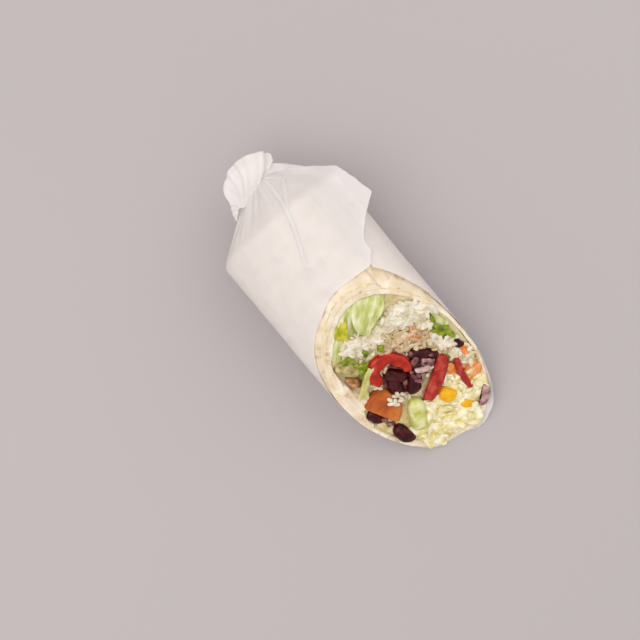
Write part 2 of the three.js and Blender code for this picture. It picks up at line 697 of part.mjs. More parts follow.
function insideFilling(x, z, margin) {
  const angle = Math.atan2(z - WIDEST_AT, x);
  const reach = Math.hypot(x, z - WIDEST_AT);
  let nearest = Infinity;
  for (let i = 0; i < 90; i++) {
    const edge = sectionPoint((i / 90) * 2 * Math.PI, fillingInset((i / 90) * 2 * Math.PI));
    const turn = Math.abs(Math.atan2(edge.y - WIDEST_AT, edge.x) - angle);
    if (turn < 0.08) nearest = Math.min(nearest, Math.hypot(edge.x, edge.y - WIDEST_AT));
  }
  return reach < nearest - margin;
}

// Bits between two heights of the cut that keep clear of everything else there.
function scatter(count, makeBit, seed, lowest, highest, keepOut) {
  const random = seeded(seed);
  const bits = [];
  for (let i = 0; bits.length < count && i < count * 14; i++) {
    const x = (((0.5 + i * 0.7548776662) % 1) - 0.5) * 2 * ROLL_HALF_WIDTH;
    const down = ((0.5 + i * 0.569840291) % 1) * CUT_LENGTH;
    const z = ROLL_HEIGHT - down * CUT_SIN;
    const { grain, out, turn, nod } = makeBit(random);
    if (z < lowest || z > highest || !insideFilling(x, z, 4)) continue;
    const solid = toSolid(onFace(grain, { x, down, out: out + relief(x, down), turn, nod }));
    if (solid.intersect(keepOut).volume() < 0.01) bits.push(solid);
  }
  return bits;
}

// The toppings as solids, and the room they need. One that another crosses is cut back there.
function makeToppings(bread) {
  const made = [];
  const rooms = [];
  for (const [name, colour, make, at] of toppings) {
    let solid = toSolid(onFace(make(0), at));
    for (const other of [...rooms, bread]) {
      if (!solid.intersect(other).isEmpty()) solid = solid.subtract(other);
    }
    made.push({ name, colour, solid: largest(solid).simplify(0.02) });
    rooms.push(toSolid(onFace(make(GAP), at)));
  }
  return { made, rooms: joined(rooms) };
}

function buildBurrito() {
  const front = beyondCut();
  const bread = makeBread(front);
  const breadRoom = joined([
    breadBand(OUTER_EDGE, INNER_EDGE, 44, spiralInset, GAP),
    tuckFolds(GAP),
  ]).subtract(front.translate(0, 0, GAP));
  const { made, rooms } = makeToppings(breadRoom);
  const keepOut = joined([rooms, breadRoom]);
  const core = fillingCore().subtract(keepOut);
  const heap = (low, high, bits) => {
    const slab = toSolid(new THREE.BoxGeometry(200, 400, high - low).translate(0, -80, (low + high) / 2));
    return largest(joined([core.intersect(slab), ...bits]));
  };
  const grains = scatter(RICE_GRAINS, riceGrain, 11, CABBAGE_TOP + 4, 70, keepOut);
  const bits = scatter(CABBAGE_BITS, cabbageBit, 5, 0, CABBAGE_TOP - 3, keepOut);
  const group = new THREE.Group();
  group.add(toMesh("paper_wrap", makePaper(), material("paper", 0.75)));
  group.add(toMesh("tortilla", bread, material("bread", 0.8)));
  group.add(toMesh("rice_filling", heap(CABBAGE_TOP + GAP, 80, grains), material("rice", 0.5)));
  group.add(toMesh("cabbage_filling", heap(-10, CABBAGE_TOP, bits), material("cabbage", 0.5)));
  for (const { name, colour, solid } of made) group.add(toMesh(name, solid, material(colour, 0.35)));
  return group;
}

// Centres the whole over the origin, standing on z = 0.
const burrito = buildBurrito();
const box = new THREE.Box3().setFromObject(burrito);
burrito.position.set(-(box.min.x + box.max.x) / 2, -(box.min.y + box.max.y) / 2, -box.min.z);

export default burrito;
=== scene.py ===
import json
import math

import bmesh
import bpy
import numpy as np
from mathutils import Euler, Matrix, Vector, noise
from mathutils.bvhtree import BVHTree

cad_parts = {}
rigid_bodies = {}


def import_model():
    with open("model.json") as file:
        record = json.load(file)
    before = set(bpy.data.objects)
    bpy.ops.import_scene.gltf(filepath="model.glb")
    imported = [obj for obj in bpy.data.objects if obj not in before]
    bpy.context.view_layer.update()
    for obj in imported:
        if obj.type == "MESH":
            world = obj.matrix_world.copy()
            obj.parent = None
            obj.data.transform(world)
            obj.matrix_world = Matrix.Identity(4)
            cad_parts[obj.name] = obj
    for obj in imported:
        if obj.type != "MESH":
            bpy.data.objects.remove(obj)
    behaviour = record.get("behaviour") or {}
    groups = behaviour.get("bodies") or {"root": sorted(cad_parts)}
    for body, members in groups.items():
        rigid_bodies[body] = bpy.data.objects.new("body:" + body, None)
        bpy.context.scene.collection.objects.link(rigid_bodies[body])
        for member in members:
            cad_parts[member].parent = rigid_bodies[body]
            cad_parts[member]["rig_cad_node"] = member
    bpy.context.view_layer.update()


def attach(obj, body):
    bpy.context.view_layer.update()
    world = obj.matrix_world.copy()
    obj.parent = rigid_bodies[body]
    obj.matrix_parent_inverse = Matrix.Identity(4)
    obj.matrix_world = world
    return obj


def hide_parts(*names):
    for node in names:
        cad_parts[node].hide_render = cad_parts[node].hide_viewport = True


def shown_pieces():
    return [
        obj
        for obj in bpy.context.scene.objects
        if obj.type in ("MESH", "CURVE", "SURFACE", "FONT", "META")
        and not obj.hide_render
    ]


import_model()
scene = bpy.context.scene

# The tortilla: a wheat flatbread, griddled so that it is cream with scattered toasted blisters.
# It is rolled 1.4 turns, outer edge on top of the roll, inner edge low on the left, one side tucked in.
# Lengths are in millimetres, with y 0 at the closed end of the roll and x 0 on its middle.
ROLL_HALF_WIDTH = 38.3
ROLL_HEIGHT = 60
WIDEST_AT = 29.5
BELOW_WIDEST = 31.3  # more than WIDEST_AT, so that the roll lies on a flattened strip
TOP_SQUARENESS = 2.06
TOP_LEFT_SQUARENESS = 1.82
BASE_SQUARENESS = 1.95
LEAN = 0.08
CUT_AT_TOP = 66
CUT_RUN = 101
CUT_SKEW = 0.2
CUT_LENGTH = math.hypot(ROLL_HEIGHT, CUT_RUN)
SHOULDER = 15.6
SHOULDER_ROUNDING = 0.12
NECK = -8
NECK_SIZE = 0.14
NECK_X = 5
NECK_Z = 36
INSIDE_PAPER = 0.8
BREAD = 1.71
TURN_PITCH = 1.7
BREAD_END = 7
OUTER_EDGE = 63  # degrees round the roll from its right side
INNER_EDGE = 566
BREAD_COLUMNS = 460
BREAD_ROWS = 70
RIM_PROFILE = [(0.02, 0), (0.1, 0.06), (0.5, 0.1), (0.9, 0.06), (0.98, 0)]  # share of depth, and forward
TUCK = [  # degrees round the roll, and how deep the tucked-in folds reach there
    (505, 3.6), (510, 4.6), (518.5, 6.4), (528.5, 9.4), (534, 10.6), (538, 12.6), (542, 15.6), (547, 16.2),
    (550.5, 11), (554, 6.4), (557, 4.8), (562, 3.6),
]
TUCK_START = 1.2  # how far inside the wall the folds begin
TUCK_BEHIND = 62  # the folds run out here
CRUMB_BEHIND_CUT = 0.9  # faces this near to the cut, and turned towards it, show the crumb
CRUMB_FACING = 0.55
TO_PART = np.array([-3.6, 73.69, 0])  # from the closed end of the roll to the part's own origin


def smooth(value, low, high):
    """Rises softly from 0 to 1 between two values."""
    share = np.clip((value - low) / (high - low), 0, 1)
    return share * share * (3 - 2 * share)


def full_turn(count):
    """Angles in equal steps once round."""
    return np.linspace(0, 2 * np.pi, count + 1)[:-1]


def squared(values, power):
    """Values raised to a power with their sign kept: below 1 it makes a circle squarer."""
    return np.sign(values) * np.abs(values) ** power


def xyz(x, y, z):
    """Points from their three coordinates."""
    return np.stack(np.broadcast_arrays(x, y, z), -1)


def section_point(angle, inset):
    """Point of the roll's section at an angle from its right side, moved inwards by inset."""
    cos, sin = np.cos(angle), np.sin(angle)
    top = np.where(cos < 0, TOP_LEFT_SQUARENESS, TOP_SQUARENESS)
    power = 2 / np.where(sin > 0, top, BASE_SQUARENESS)
    reach = np.where(sin > 0, ROLL_HEIGHT - WIDEST_AT, BELOW_WIDEST) - inset
    x = (ROLL_HALF_WIDTH - inset) * squared(cos, power)
    lean = np.where(sin > 0, LEAN * x * sin, 0)
    z = WIDEST_AT + reach * squared(sin, power) + lean
    return x, np.maximum(z, inset)


def drawn_in(along):
    """Width of the roll at a distance from its closed end, as a share of its full section."""
    share = (along - NECK) / (SHOULDER - NECK)
    rounded = 1 - np.square(1 + SHOULDER_ROUNDING - share) / (4 * SHOULDER_ROUNDING)
    on_body = np.where(share > 1 + SHOULDER_ROUNDING, 1, rounded)
    drawn = np.where(share < 1 - SHOULDER_ROUNDING, share, on_body)
    return NECK_SIZE + (1 - NECK_SIZE) * np.maximum(drawn, 0)


def roll_point(angle, along, inset):
    """Point on the roll at an angle, a distance from its closed end and a depth under its outside."""
    size = drawn_in(along)
    x, z = section_point(angle, inset)
    return xyz(NECK_X + (x - NECK_X) * size, np.negative(along), NECK_Z + (z - NECK_Z) * size)


def cut_along(x, z):
    """Distance of the slanted cut from the closed end."""
    return CUT_AT_TOP + (ROLL_HEIGHT - z) / ROLL_HEIGHT * CUT_RUN + CUT_SKEW * x


def bumps(points, size, seed=0.0):
    """Smooth noise from -1 to 1 at each point, with bumps about size millimetres across."""
    flat = np.asarray(points, float).reshape(-1, 3) / size + seed
    values = [noise.noise(Vector(p)) for p in flat]
    return np.array(values).reshape(np.shape(points)[:-1])


def make_piece(name, verts, faces, material, node):
    """A piece from points in millimetres that rides on the part and stands for its node."""
    mesh = bpy.data.meshes.new(name)
    mesh.from_pydata((np.asarray(verts).reshape(-1, 3) + TO_PART) / 1000, [], faces)
    clean = bmesh.new()
    clean.from_mesh(mesh)
    bmesh.ops.remove_doubles(clean, verts=clean.verts, dist=1e-6)
    bmesh.ops.recalc_face_normals(clean, faces=clean.faces)
    clean.to_mesh(mesh)
    clean.free()
    mesh.polygons.foreach_set("use_smooth", [True] * len(mesh.polygons))
    mesh.materials.append(material)
    piece = bpy.data.objects.new(name, mesh)
    scene.collection.objects.link(piece)
    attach(piece, "root")
    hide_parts(node)
    return piece


def grid_faces(points, wrap=True):
    """Four-sided faces over rows of points, which wrap from each row's end to its start."""
    rows, columns = points.shape[:2]
    faces = []
    for row in range(0, (rows - 1) * columns, columns):
        for left in range(columns if wrap else columns - 1):
            right = (left + 1) % columns
            faces.append((row + left, row + right, row + columns + right, row + columns + left))
    return faces


def closed_ends(points):
    """Faces that close the first and last row of a sheet whose rows run round it."""
    rows, columns = points.shape[:2]
    faces = []
    for first in (0, (rows - 1) * columns):
        last = first + columns - 1
        faces += [(first + i, first + i + 1, last - 1 - i, last - i) for i in range(columns // 2 - 1)]
    return faces


def linear(colour):
    """An sRGB colour in hex as linear red, green, blue and alpha."""
    parts = [int(colour[i:i + 2], 16) / 255 for i in (0, 2, 4)]
    return [p / 12.92 if p <= 0.04045 else ((p + 0.055) / 1.055) ** 2.4 for p in parts] + [1]


def add_node(material, kind, settings=(), links=()):
    """Adds a node with its settings and its links from other nodes' outputs."""
    node = material.node_tree.nodes.new(kind)
    for name, value in settings:
        if isinstance(name, int) or name in node.inputs:
            node.inputs[name].default_value = value
        else:
            setattr(node, name, value)
    for name, output in links:
        material.node_tree.links.new(output, node.inputs[name])
    return node


def new_surface(name, **sockets):
    """A material with only its shader, its sockets set."""
    material = bpy.data.materials.new(name)
    material.use_nodes = True
    shader = material.node_tree.nodes["Principled BSDF"]
    for socket, value in sockets.items():
        shader.inputs[socket.replace("_", " ").title().replace("Ior", "IOR")].default_value = value
    return material, shader


def add_pattern(material, place, size, detail=2, roughness=0.5):
    """Noise from 0 to 1 with spots about size millimetres across."""
    settings = [("Scale", 1000 / size), ("Detail", detail), ("Roughness", roughness)]
    return add_node(material, "ShaderNodeTexNoise", settings, [("Vector", place)]).outputs["Fac"]


def food_surface(name, colours, patch, grain, depth, fibres=None, ior=1.4, **sockets):
    """A moist food: its colour drifts between three hues over patch mm, under a skin of bumps of grain mm.

    Where fibres is a direction, the pattern is drawn out four times along it."""
    material, shader = new_surface(name, ior=ior, **sockets)
    place = add_node(material, "ShaderNodeTexCoord").outputs["Object"]
    if fibres is not None:
        turned = Vector(fibres).to_track_quat("X", "Z").to_euler()
        place = add_node(
            material, "ShaderNodeMapping",
            [("vector_type", "TEXTURE"), ("Rotation", turned), ("Scale", (4, 1, 1))], [("Vector", place)],
        ).outputs["Vector"]
    drift = add_pattern(material, place, patch, detail=3)
    hue = add_node(material, "ShaderNodeValToRGB", links=[("Fac", drift)])
    hue.color_ramp.elements.new(0.5)
    for stop, colour, at in zip(hue.color_ramp.elements, colours.split(), (0.32, 0.5, 0.68)):
        stop.position, stop.color = at, linear(colour)
    skin = add_node(
        material, "ShaderNodeBump", [("Strength", 0.6), ("Distance", depth / 1000)],
        [("Height", add_pattern(material, place, grain))],
    )
    material.node_tree.links.new(hue.outputs["Color"], shader.inputs["Base Color"])
    material.node_tree.links.new(skin.outputs["Normal"], shader.inputs["Normal"])
    return material


# Wheat dough baked on a griddle: dull and floury, cream, with faint brown blisters 2 to 5 mm across.
griddled_dough = food_surface("griddled_wheat_dough", "e0ccaa ebdac0 f4e9d8", 9, 1.1, 0.25, roughness=0.72)
dough_nodes = griddled_dough.node_tree.nodes
blister = add_pattern(griddled_dough, dough_nodes["Texture Coordinate"].outputs["Object"], 7, roughness=0.6)
toasted = add_node(
    griddled_dough, "ShaderNodeMapRange", [("From Min", 0.55), ("From Max", 0.72), ("To Max", 0.75)],
    [("Value", blister)],
)
browned = add_node(
    griddled_dough, "ShaderNodeMix", [("data_type", "RGBA"), (7, linear("b07a48"))],
    [(0, toasted.outputs["Result"]), (6, dough_nodes["Color Ramp"].outputs["Color"])],
)
griddled_dough.node_tree.links.new(browned.outputs[2], dough_nodes["Principled BSDF"].inputs["Base Color"])

# The cut edge of the same bread is a paler, open crumb.
cut_crumb = food_surface("cut_bread_crumb", "d4bc88 e1cea4 ecddbc", 2.2, 0.7, 0.4, roughness=0.8)


def bread_piece(name, points, end_faces=()):
    """A closed piece of the bread, with the look of its crumb on the faces that lie in the slanted cut."""
    faces = [*grid_faces(points), *end_faces]
    piece = make_piece(name, points, faces, griddled_dough, "tortilla")
    piece.data.materials.append(cut_crumb)
    slope = Vector((-CUT_SKEW, -1, -CUT_RUN / ROLL_HEIGHT)).normalized()
    for face in piece.data.polygons:
        centre = face.center * 1000 - Vector(TO_PART)
        in_cut = -centre.y > cut_along(centre.x, centre.z) - CRUMB_BEHIND_CUT
        face.material_index = int(in_cut and abs(face.normal.dot(slope)) > CRUMB_FACING)


def rolled_bread():
    """Points of the rolled band: rows along its outside, over its cut rim and back on its inside."""
    degrees = np.linspace(OUTER_EDGE, INNER_EDGE, BREAD_COLUMNS)
    angle = np.radians(degrees)[:, None]
    second_turn = smooth(degrees, OUTER_EDGE + 290, OUTER_EDGE + 352)
    outside = (INSIDE_PAPER + TURN_PITCH * second_turn)[:, None]
    thin = (0.7 * (1 - smooth(degrees, OUTER_EDGE, OUTER_EDGE + 4)))[:, None]
    layers, edge = [], []
    for depth in (BREAD * thin, BREAD):
        x, z = section_point(angle, outside + depth)
        last = cut_along(x, z) - 0.1
        along = BREAD_END + (last - BREAD_END) * np.linspace(0, 1, BREAD_ROWS) ** 0.8
        tighter = 1.2 * (1 - smooth(along, 10, 26))
        layers.append((outside + depth + tighter, along))
    for depth, forward in RIM_PROFILE:
        inset = outside + (thin + depth * (1 - thin)) * BREAD
        edge.append((inset, cut_along(*section_point(angle, inset)) + forward))
    inner_inset, inner_along = layers[1]
    inset = np.concatenate([layers[0][0], *[e[0] for e in edge], edge[-1][0], inner_inset[:, ::-1]], 1)
    along = np.concatenate([layers[0][1], *[e[1] for e in edge], edge[-1][1] - 0.1, inner_along[:, ::-1]], 1)
    spots = xyz(38 * np.cos(angle), along, 38 * np.sin(angle))
    inset = inset + 0.45 * bumps(spots, 13) + 0.16 * bumps(spots, 3.5)
    at_rim = spots[:, -BREAD_ROWS - 2:-BREAD_ROWS - 1] + 3
    ragged = smooth(along, 55, 62) * (0.5 * bumps(at_rim, 4) + 0.3 * bumps(at_rim, 1.3))
    return roll_point(angle, along + ragged, np.maximum(inset, 0.55))


def tuck_folds(columns=170, layers=34, rows=16):
    """Points of the side that was tucked in: ruffled folds against the left wall, deepest at the cut."""
    degrees = np.linspace(TUCK[0][0], TUCK[-1][0], columns)
    reach = np.interp(degrees, *np.transpose(TUCK))
    reach = np.convolve(np.pad(reach, 3, "edge"), np.ones(7) / 7, "valid")[:, None]
    wall = INSIDE_PAPER + TURN_PITCH
    depth = np.linspace(0, 1, layers)
    turn = degrees[:, None]
    angle = np.radians(turn)
    inset = wall + TUCK_START + (reach - wall - TUCK_START) * depth
    strain = xyz(turn * 0.6, inset, 0.0)
    inset = inset + 0.5 * bumps(strain, 6) * depth + 0.22 * bumps(strain, 2.2) * depth
    folds = 0.55 * np.sin(inset * 2.3 + 1.6 * bumps(strain, 7)) * smooth(depth, 0, 0.15)
    lip = 0.7 * smooth(depth, 0.6, 0.95) - 1.4 * smooth(depth, 0.95, 1)
    out = 0.25 + folds + lip + 0.25 * bumps(strain, 1.6)
    x, z = section_point(angle, inset)
    face = roll_point(angle, cut_along(x, z) + out * CUT_LENGTH / ROLL_HEIGHT * 0.5, inset)
    back, outside = [], []
    for share in np.linspace(0, 1, rows):
        along = cut_along(x[:, -1:], z[:, -1:]) * (1 - share) + TUCK_BEHIND * share
        fades = smooth(along, TUCK_BEHIND, 98)
        back.append(roll_point(angle, along, wall + 1 + (inset[:, -1:] - wall - 1) * fades))
        along = cut_along(x[:, :1], z[:, :1]) * share + TUCK_BEHIND * (1 - share)
        outside.append(roll_point(angle, along, wall + 0.7))
    return np.concatenate([face, *back[1:], *outside[:-1]], 1)


bread = rolled_bread()
bread_piece("tortilla_roll", bread, closed_ends(bread))
bread_piece("tortilla_tuck", tuck_folds())

steps = np.linspace(0, 1, 14)[:, None, None]
rim = roll_point(full_turn(96), BREAD_END + 1, INSIDE_PAPER + 2.4)[None]
middle = np.array([0, -BREAD_END, WIDEST_AT])
outside = middle + (rim - middle) * steps
inside = middle + (rim + np.array([0, -3, 0]) - middle) * steps[::-1] - np.array([0, 1.2, 0])
folded_end = np.concatenate([outside, inside])
make_piece("tortilla_end", folded_end, grid_faces(folded_end), griddled_dough, "tortilla")

# The filling: cooked rice with chopped vegetables above, and finely chopped cabbage below, pressed together.
# The core is cut off rough behind the slanted face, and the loose grains and bits lie over it.
FILLING_END = 11.5
CABBAGE_TOP = 16.7
CORE_BEHIND_CUT = 1.7
FACE_ACROSS = np.array([1, -CUT_SKEW, 0]) / math.hypot(1, CUT_SKEW)
FACE_UP = np.array([0, CUT_RUN, ROLL_HEIGHT]) / CUT_LENGTH
FACE_OUT = np.cross(FACE_ACROSS, FACE_UP)
FACE_OUT /= np.linalg.norm(FACE_OUT)


def face_point(x, down, out):
    """Point on the slanted cut: across it, down it from the top rim, and out of it."""
    z = ROLL_HEIGHT - np.asarray(down) * ROLL_HEIGHT / CUT_LENGTH
    base = xyz(x, -cut_along(x, z), z)
    return base + np.asarray(out)[..., None] * FACE_OUT


def on_face(points, x, down, out=0.0, turn=0.0, nod=0.0, roll=0.0):
    """Sets points made round the origin, with their face towards +Z, on the slanted cut."""
    turned = np.array(Euler([math.radians(v) for v in (nod, roll, turn)], "XYZ").to_matrix())
    basis = np.stack([FACE_ACROSS, FACE_UP, FACE_OUT], 1)
    return np.asarray(points) @ (basis @ turned).T + face_point(x, down, out)


def relief(x, down):
    """Broad bumps of the cut filling, as in the part's own cores."""
    wide = np.sin(x * 0.31 + 1.7) * np.cos(down * 0.23 + 0.4)
    fine = np.sin(x * 0.83 + down * 0.37) * np.cos(down * 0.71 - x * 0.29)
    return 0.8 * wide + 0.5 * fine


def filling_inset(angle):
    """How deep the filling starts under the roll's outside: under one layer of bread or under two."""
    degrees = np.degrees(angle) % 360
    two_turns = smooth(degrees, 20, 50) * (1 - smooth(degrees, 207, 214))
    return INSIDE_PAPER + BREAD + 0.3 + TURN_PITCH * two_turns


def core_points(columns=200, rings=56):
    """Rows of points from the middle of the cut to its rim, then back along the wall to the closed end."""
    angle = full_turn(columns)
    wall = filling_inset(angle)
    edge_x, edge_z = section_point(angle, wall)
    beside_tuck = smooth(angle, 2.55, 2.8) * (1 - smooth(angle, 3.25, 3.45))
    rows = []
    for share in np.linspace(0, 1, rings):
        x = edge_x * share
        z = WIDEST_AT + (edge_z - WIDEST_AT) * share
        down = (ROLL_HEIGHT - z) * CUT_LENGTH / ROLL_HEIGHT
        spots = xyz(x, down, 0)
        rough = 1.1 * bumps(spots, 4.2) + 0.5 * bumps(spots, 1.7)
        room_for_tuck = 4 * beside_tuck * smooth(share, 0.34, 0.5)
        back = CORE_BEHIND_CUT + (relief(x, down) + rough) * (1 - share ** 6) + room_for_tuck
        rows.append(xyz(x, -cut_along(x, z) + back, z))
    for along in (46, 24, FILLING_END + 2):
        rows.append(roll_point(angle, np.minimum(along, cut_along(edge_x, edge_z) - 3), wall + 1.4))
    rows.append(np.broadcast_to([0, -FILLING_END - 1, WIDEST_AT], rows[-1].shape))
    return np.array(rows)


def heap_core(name, low, high, material, slot):
    """The part of the core between two heights, closed again where it is cut."""
    points = core_points()
    core = make_piece(name, points, grid_faces(points), material, slot + "_filling")
    shape = bmesh.new()
    shape.from_mesh(core.data)
    for height, outward in ((low, -1), (high, 1)):
        cut = bmesh.ops.bisect_plane(
            shape, geom=[*shape.verts, *shape.edges, *shape.faces],
            plane_co=(0, 0, height / 1000), plane_no=(0, 0, outward), clear_outer=True,
        )
        rim_edges = [e for e in cut["geom_cut"] if isinstance(e, bmesh.types.BMEdge)]
        bmesh.ops.holes_fill(shape, edges=rim_edges, sides=0)
    bmesh.ops.recalc_face_normals(shape, faces=shape.faces)
    shape.to_mesh(core.data)
    shape.free()
    return core


def colour_patch(piece, material, x, down, half_across, half_down):
    """Gives the faces round a place on the cut another look."""
    piece.data.materials.append(material)
    middle = Vector((face_point(x, down, 0) + TO_PART) / 1000)
    for face in piece.data.polygons:
        away = (face.center - middle) * 1000
        if math.hypot(away.dot(Vector(FACE_ACROSS)) / half_across, away.dot(Vector(FACE_UP)) / half_down) < 1:
            face.material_index = len(piece.data.materials) - 1


# Steamed rice and vegetable crumbs, moist and clinging: off-white with beige and yellowish stains. It is
# painted darker than the loose rice on it, as painted shade in the gaps where it shows.
rice_mash_painted_shade = food_surface("packed_rice_and_crumbs", "c2ae78 d8c897 e8dcb8", 7, 1.3, 0.5, roughness=0.5)
# Chopped cabbage pressed together, painted darker than the loose bits on it, as painted shade in the gaps
# where it shows.
cabbage_mash_painted_shade = food_surface("packed_chopped_cabbage", "c6b26a dfcd90 ede0b4", 5, 1.5, 0.8, roughness=0.45)
# Round the beans their skins have stained it a dull dark red, and in the hollow inside and below the pepper
# ring it is darkened further as painted shade.
bean_stain_and_painted_shade = food_surface("bean_stained_mash", "3c1416 6a3534 9a6e5e", 4, 1.3, 0.5, roughness=0.45)
rice_core = heap_core("rice_core", CABBAGE_TOP, 80, rice_mash_painted_shade, "rice")
# The patch inside and below the pepper ring: real bean stain, made darker as painted shade.
colour_patch(rice_core, bean_stain_and_painted_shade, -3, 62.5, 12.5, 10.5)
heap_core("cabbage_core", -5, CABBAGE_TOP, cabbage_mash_painted_shade, "cabbage")

# The toppings that show in the cut: peppers, beans, maize, cucumber, mushroom, onion, herbs and lettuce.
# Each is a piece of its own, pressed into the filling where the knife left it.


def lump(half_x, half_y, half_z, squareness, around=40, rows=24):
    """Rows of points round a rounded lump: squareness 2 is an egg, and more is nearer to a box."""
    polar = np.linspace(0, np.pi, rows)[:, None]
    turn = full_turn(around)
    sin = np.sin(polar)
    unit = xyz(sin * np.cos(turn), np.cos(polar), sin * np.sin(turn))
    return squared(unit, 2 / squareness) * np.array([half_x, half_y, half_z])


def bean_shape(length, width):
    """A kidney: bent along its length, with a dent in its hollow side."""
    points = lump(length / 2, width / 2, width * 0.42, 2.2)
    points[..., 1] += 1.6 * (points[..., 0] / (length / 2)) ** 2 - 0.8
    dent = np.exp(-(points[..., 0] / (length * 0.16)) ** 2) * smooth(-points[..., 1], 0, width * 0.5)
    points[..., 1] += 0.09 * width * dent
    return points + 0.16 * bumps(points, 3.0, length)[..., None]


def kernel_shape(size):
    """A maize kernel: a little wedge-shaped, with a dimple on top."""
    points = lump(size / 2, size / 2, size * 0.38, 2.5)
    points[..., 0] *= 1 - 0.16 * points[..., 1] / (size / 2)
    from_dimple = points[..., 0] ** 2 + (points[..., 1] - size * 0.1) ** 2
    points[..., 2] -= 0.5 * np.exp(-from_dimple / (size * 0.2) ** 2)
    return points + 0.12 * bumps(points, 2.5, size)[..., None]


def soft_shape(length, width, thickness, squareness):
    """A soft cut piece with slight dents."""
    points = lump(length / 2, width / 2, thickness / 2, squareness)
    return points + 0.3 * bumps(points, 3.4, length)[..., None]


def stick_shape(length, width, thickness, bend):
    """A strip that bends in its own plane, with blunt ends."""
    share = np.concatenate([[-1, -1], np.linspace(-1, 1, 46), [1, 1]])[:, None]
    size = np.concatenate([[0, 0.7], np.ones(46), [0.7, 0]])[:, None]
    turn = full_turn(24)
    taper = size * (1 - 0.3 * np.abs(share) ** 5)
    across = squared(np.cos(turn), 0.75) * width / 2 * taper
    up = squared(np.sin(turn), 0.75) * thickness / 2 * taper
    points = xyz(share * length / 2, across + bend * share ** 2, up)
    return points + 0.22 * bumps(points, 3.0, length)[..., None]


RING_COLUMNS = 32


def ring_shape(radius, width, height, start, stop):
    """An arc of a sliced pepper: a smooth skin outside and an uneven wet wall inside."""
    share = np.concatenate([[0, 0], np.linspace(0, 1, 70), [1, 1]])[:, None]
    size = np.concatenate([[0, 0.75], np.ones(70), [0.75, 0]])[:, None]
    turn = full_turn(RING_COLUMNS)
    direction = np.radians(start + (stop - start) * share)
    taper = size * (1 - 0.45 * np.abs(2 * share - 1) ** 5)
    uneven = np.where(np.cos(turn) < 0, 0.6 * np.sin(share * 19), 0) * taper
    reach = radius + squared(np.cos(turn), 0.7) * width / 2 * taper + uneven
    up = squared(np.sin(turn), 0.7) * height / 2 * taper
    return xyz(np.cos(direction) * reach, np.sin(direction) * reach, up)


def chunk_shape(outline, thickness, around=96):
    """A thick piece with a given outline and soft edges, from its top middle round to its underside."""
    corners = np.array(outline + outline[:1], float)
    starts = np.concatenate([[0], np.cumsum(np.linalg.norm(np.diff(corners, axis=0), axis=1))])
    at = np.linspace(0, starts[-1], around + 1)[:-1]
    edge = np.stack([np.interp(at, starts, corners[:, k]) for k in (0, 1)], -1)
    edge = sum(np.roll(edge, shift, 0) for shift in (2, 1, 0, -1, -2)) / 5
    middle = edge.mean(0)
    profile = [(share, 0.5) for share in np.linspace(0, 0.9, 14)]
    profile += [(0.97, 0.43), (1, 0.28), (1, 0), (1, -0.28), (0.97, -0.43)]
    profile += [(share, -0.5) for share in np.linspace(0.9, 0, 8)]
    points = np.array([
        np.concatenate([middle + (edge - middle) * share, np.full((around, 1), height * thickness)], 1)
        for share, height in profile
    ])
    points[..., 2] += 0.5 * bumps(points, 5, 4)
    return points


def leaf_shape(wide, narrow, length, wave, waves, curl, thickness=0.7):
    """A leaf: wide at its upper end and narrow at the lower one, ribbed and waved across, curled along."""
    u = np.linspace(0, 1, 61)
    v = np.linspace(0, 1, 50)[:, None]
    half = (wide + (narrow - wide) * v) / 2
    frill = 0.16 * np.sin(u * 31 + v * 6) * (0.3 + np.abs(u - 0.5) * 2) * min(1, wide / 12)
    sway = 0.5 * bumps(xyz(v * length, wide, 0), 3)
    x = (u - 0.5) * 2 * half + sway
    y = (0.5 - v) * length + (0.8 * np.sin(u * 9) + 0.5 * np.sin(u * 23)) * (0.5 - v)
    ribs = 0.3 * np.sin((u - 0.5) * waves * 4.7) ** 2 * (1 - 0.5 * v)
    z = wave * np.sin(u * waves * np.pi + v) + curl * (v - 0.5) ** 2 * 4 + frill + ribs
    sheet = xyz(x, y, z)
    half_way = np.array([0, 0, thickness / 2])
    return np.concatenate([sheet + half_way, (sheet - half_way)[:, ::-1]], 1)


def herb_shape(half_length, half_width, lobes):
    """A lobed herb leaf: rows from its middle out over the top, and back underneath."""
    turn = full_turn(120)
    share = np.linspace(0, 1, 16)[:, None]
    reach = share * (0.8 + 0.2 * np.cos(lobes * turn) + 0.05 * np.cos(lobes * 4 * turn))
    x = np.cos(turn) * reach * half_length
    y = np.sin(turn) * reach * half_width
    z = 0.9 * np.cos(2 * turn) * share + 0.25 * np.cos(lobes * 3 * turn) * share
    sheet = xyz(x, y, z)
    return np.concatenate([sheet + [0, 0, 0.25], (sheet - [0, 0, 0.25])[::-1]], 0)


def tuck_under_rim(points, start=0.9):
    """Bends what would cross the bread back into the roll, so that it runs on along the wall."""
    x, height = points[..., 0], points[..., 2] - WIDEST_AT
    angle = np.arctan2(height, x)
    wall_x, wall_z = section_point(angle, filling_inset(angle) + 0.6)
    reach, wall = np.hypot(x, height), np.hypot(wall_x, wall_z - WIDEST_AT)
    beyond = np.maximum(reach / wall - start, 0)
    eased = (start + (1 - start) * np.tanh(beyond / (1 - start))) * wall / np.maximum(reach, 1)
    pulled = np.where(beyond > 0, eased, 1)
    back = beyond * wall * 1.6
    return xyz(x * pulled, points[..., 1] + back, WIDEST_AT + height * pulled)


def add_topping(name, points, material, slot, x, down, **place):
    """A topping from rows of points, set on the slanted cut in place of its node."""
    faces = grid_faces(points)
    if name.startswith("lettuce"):
        faces += closed_ends(points)
    placed = on_face(points, x, down, **place)
    if name.startswith(("lettuce", "herb")):
        placed = tuck_under_rim(placed, 0.96 if name in ("lettuce_wall", "lettuce_rim") else 0.9)
    return make_piece(name, placed, faces, material, name)


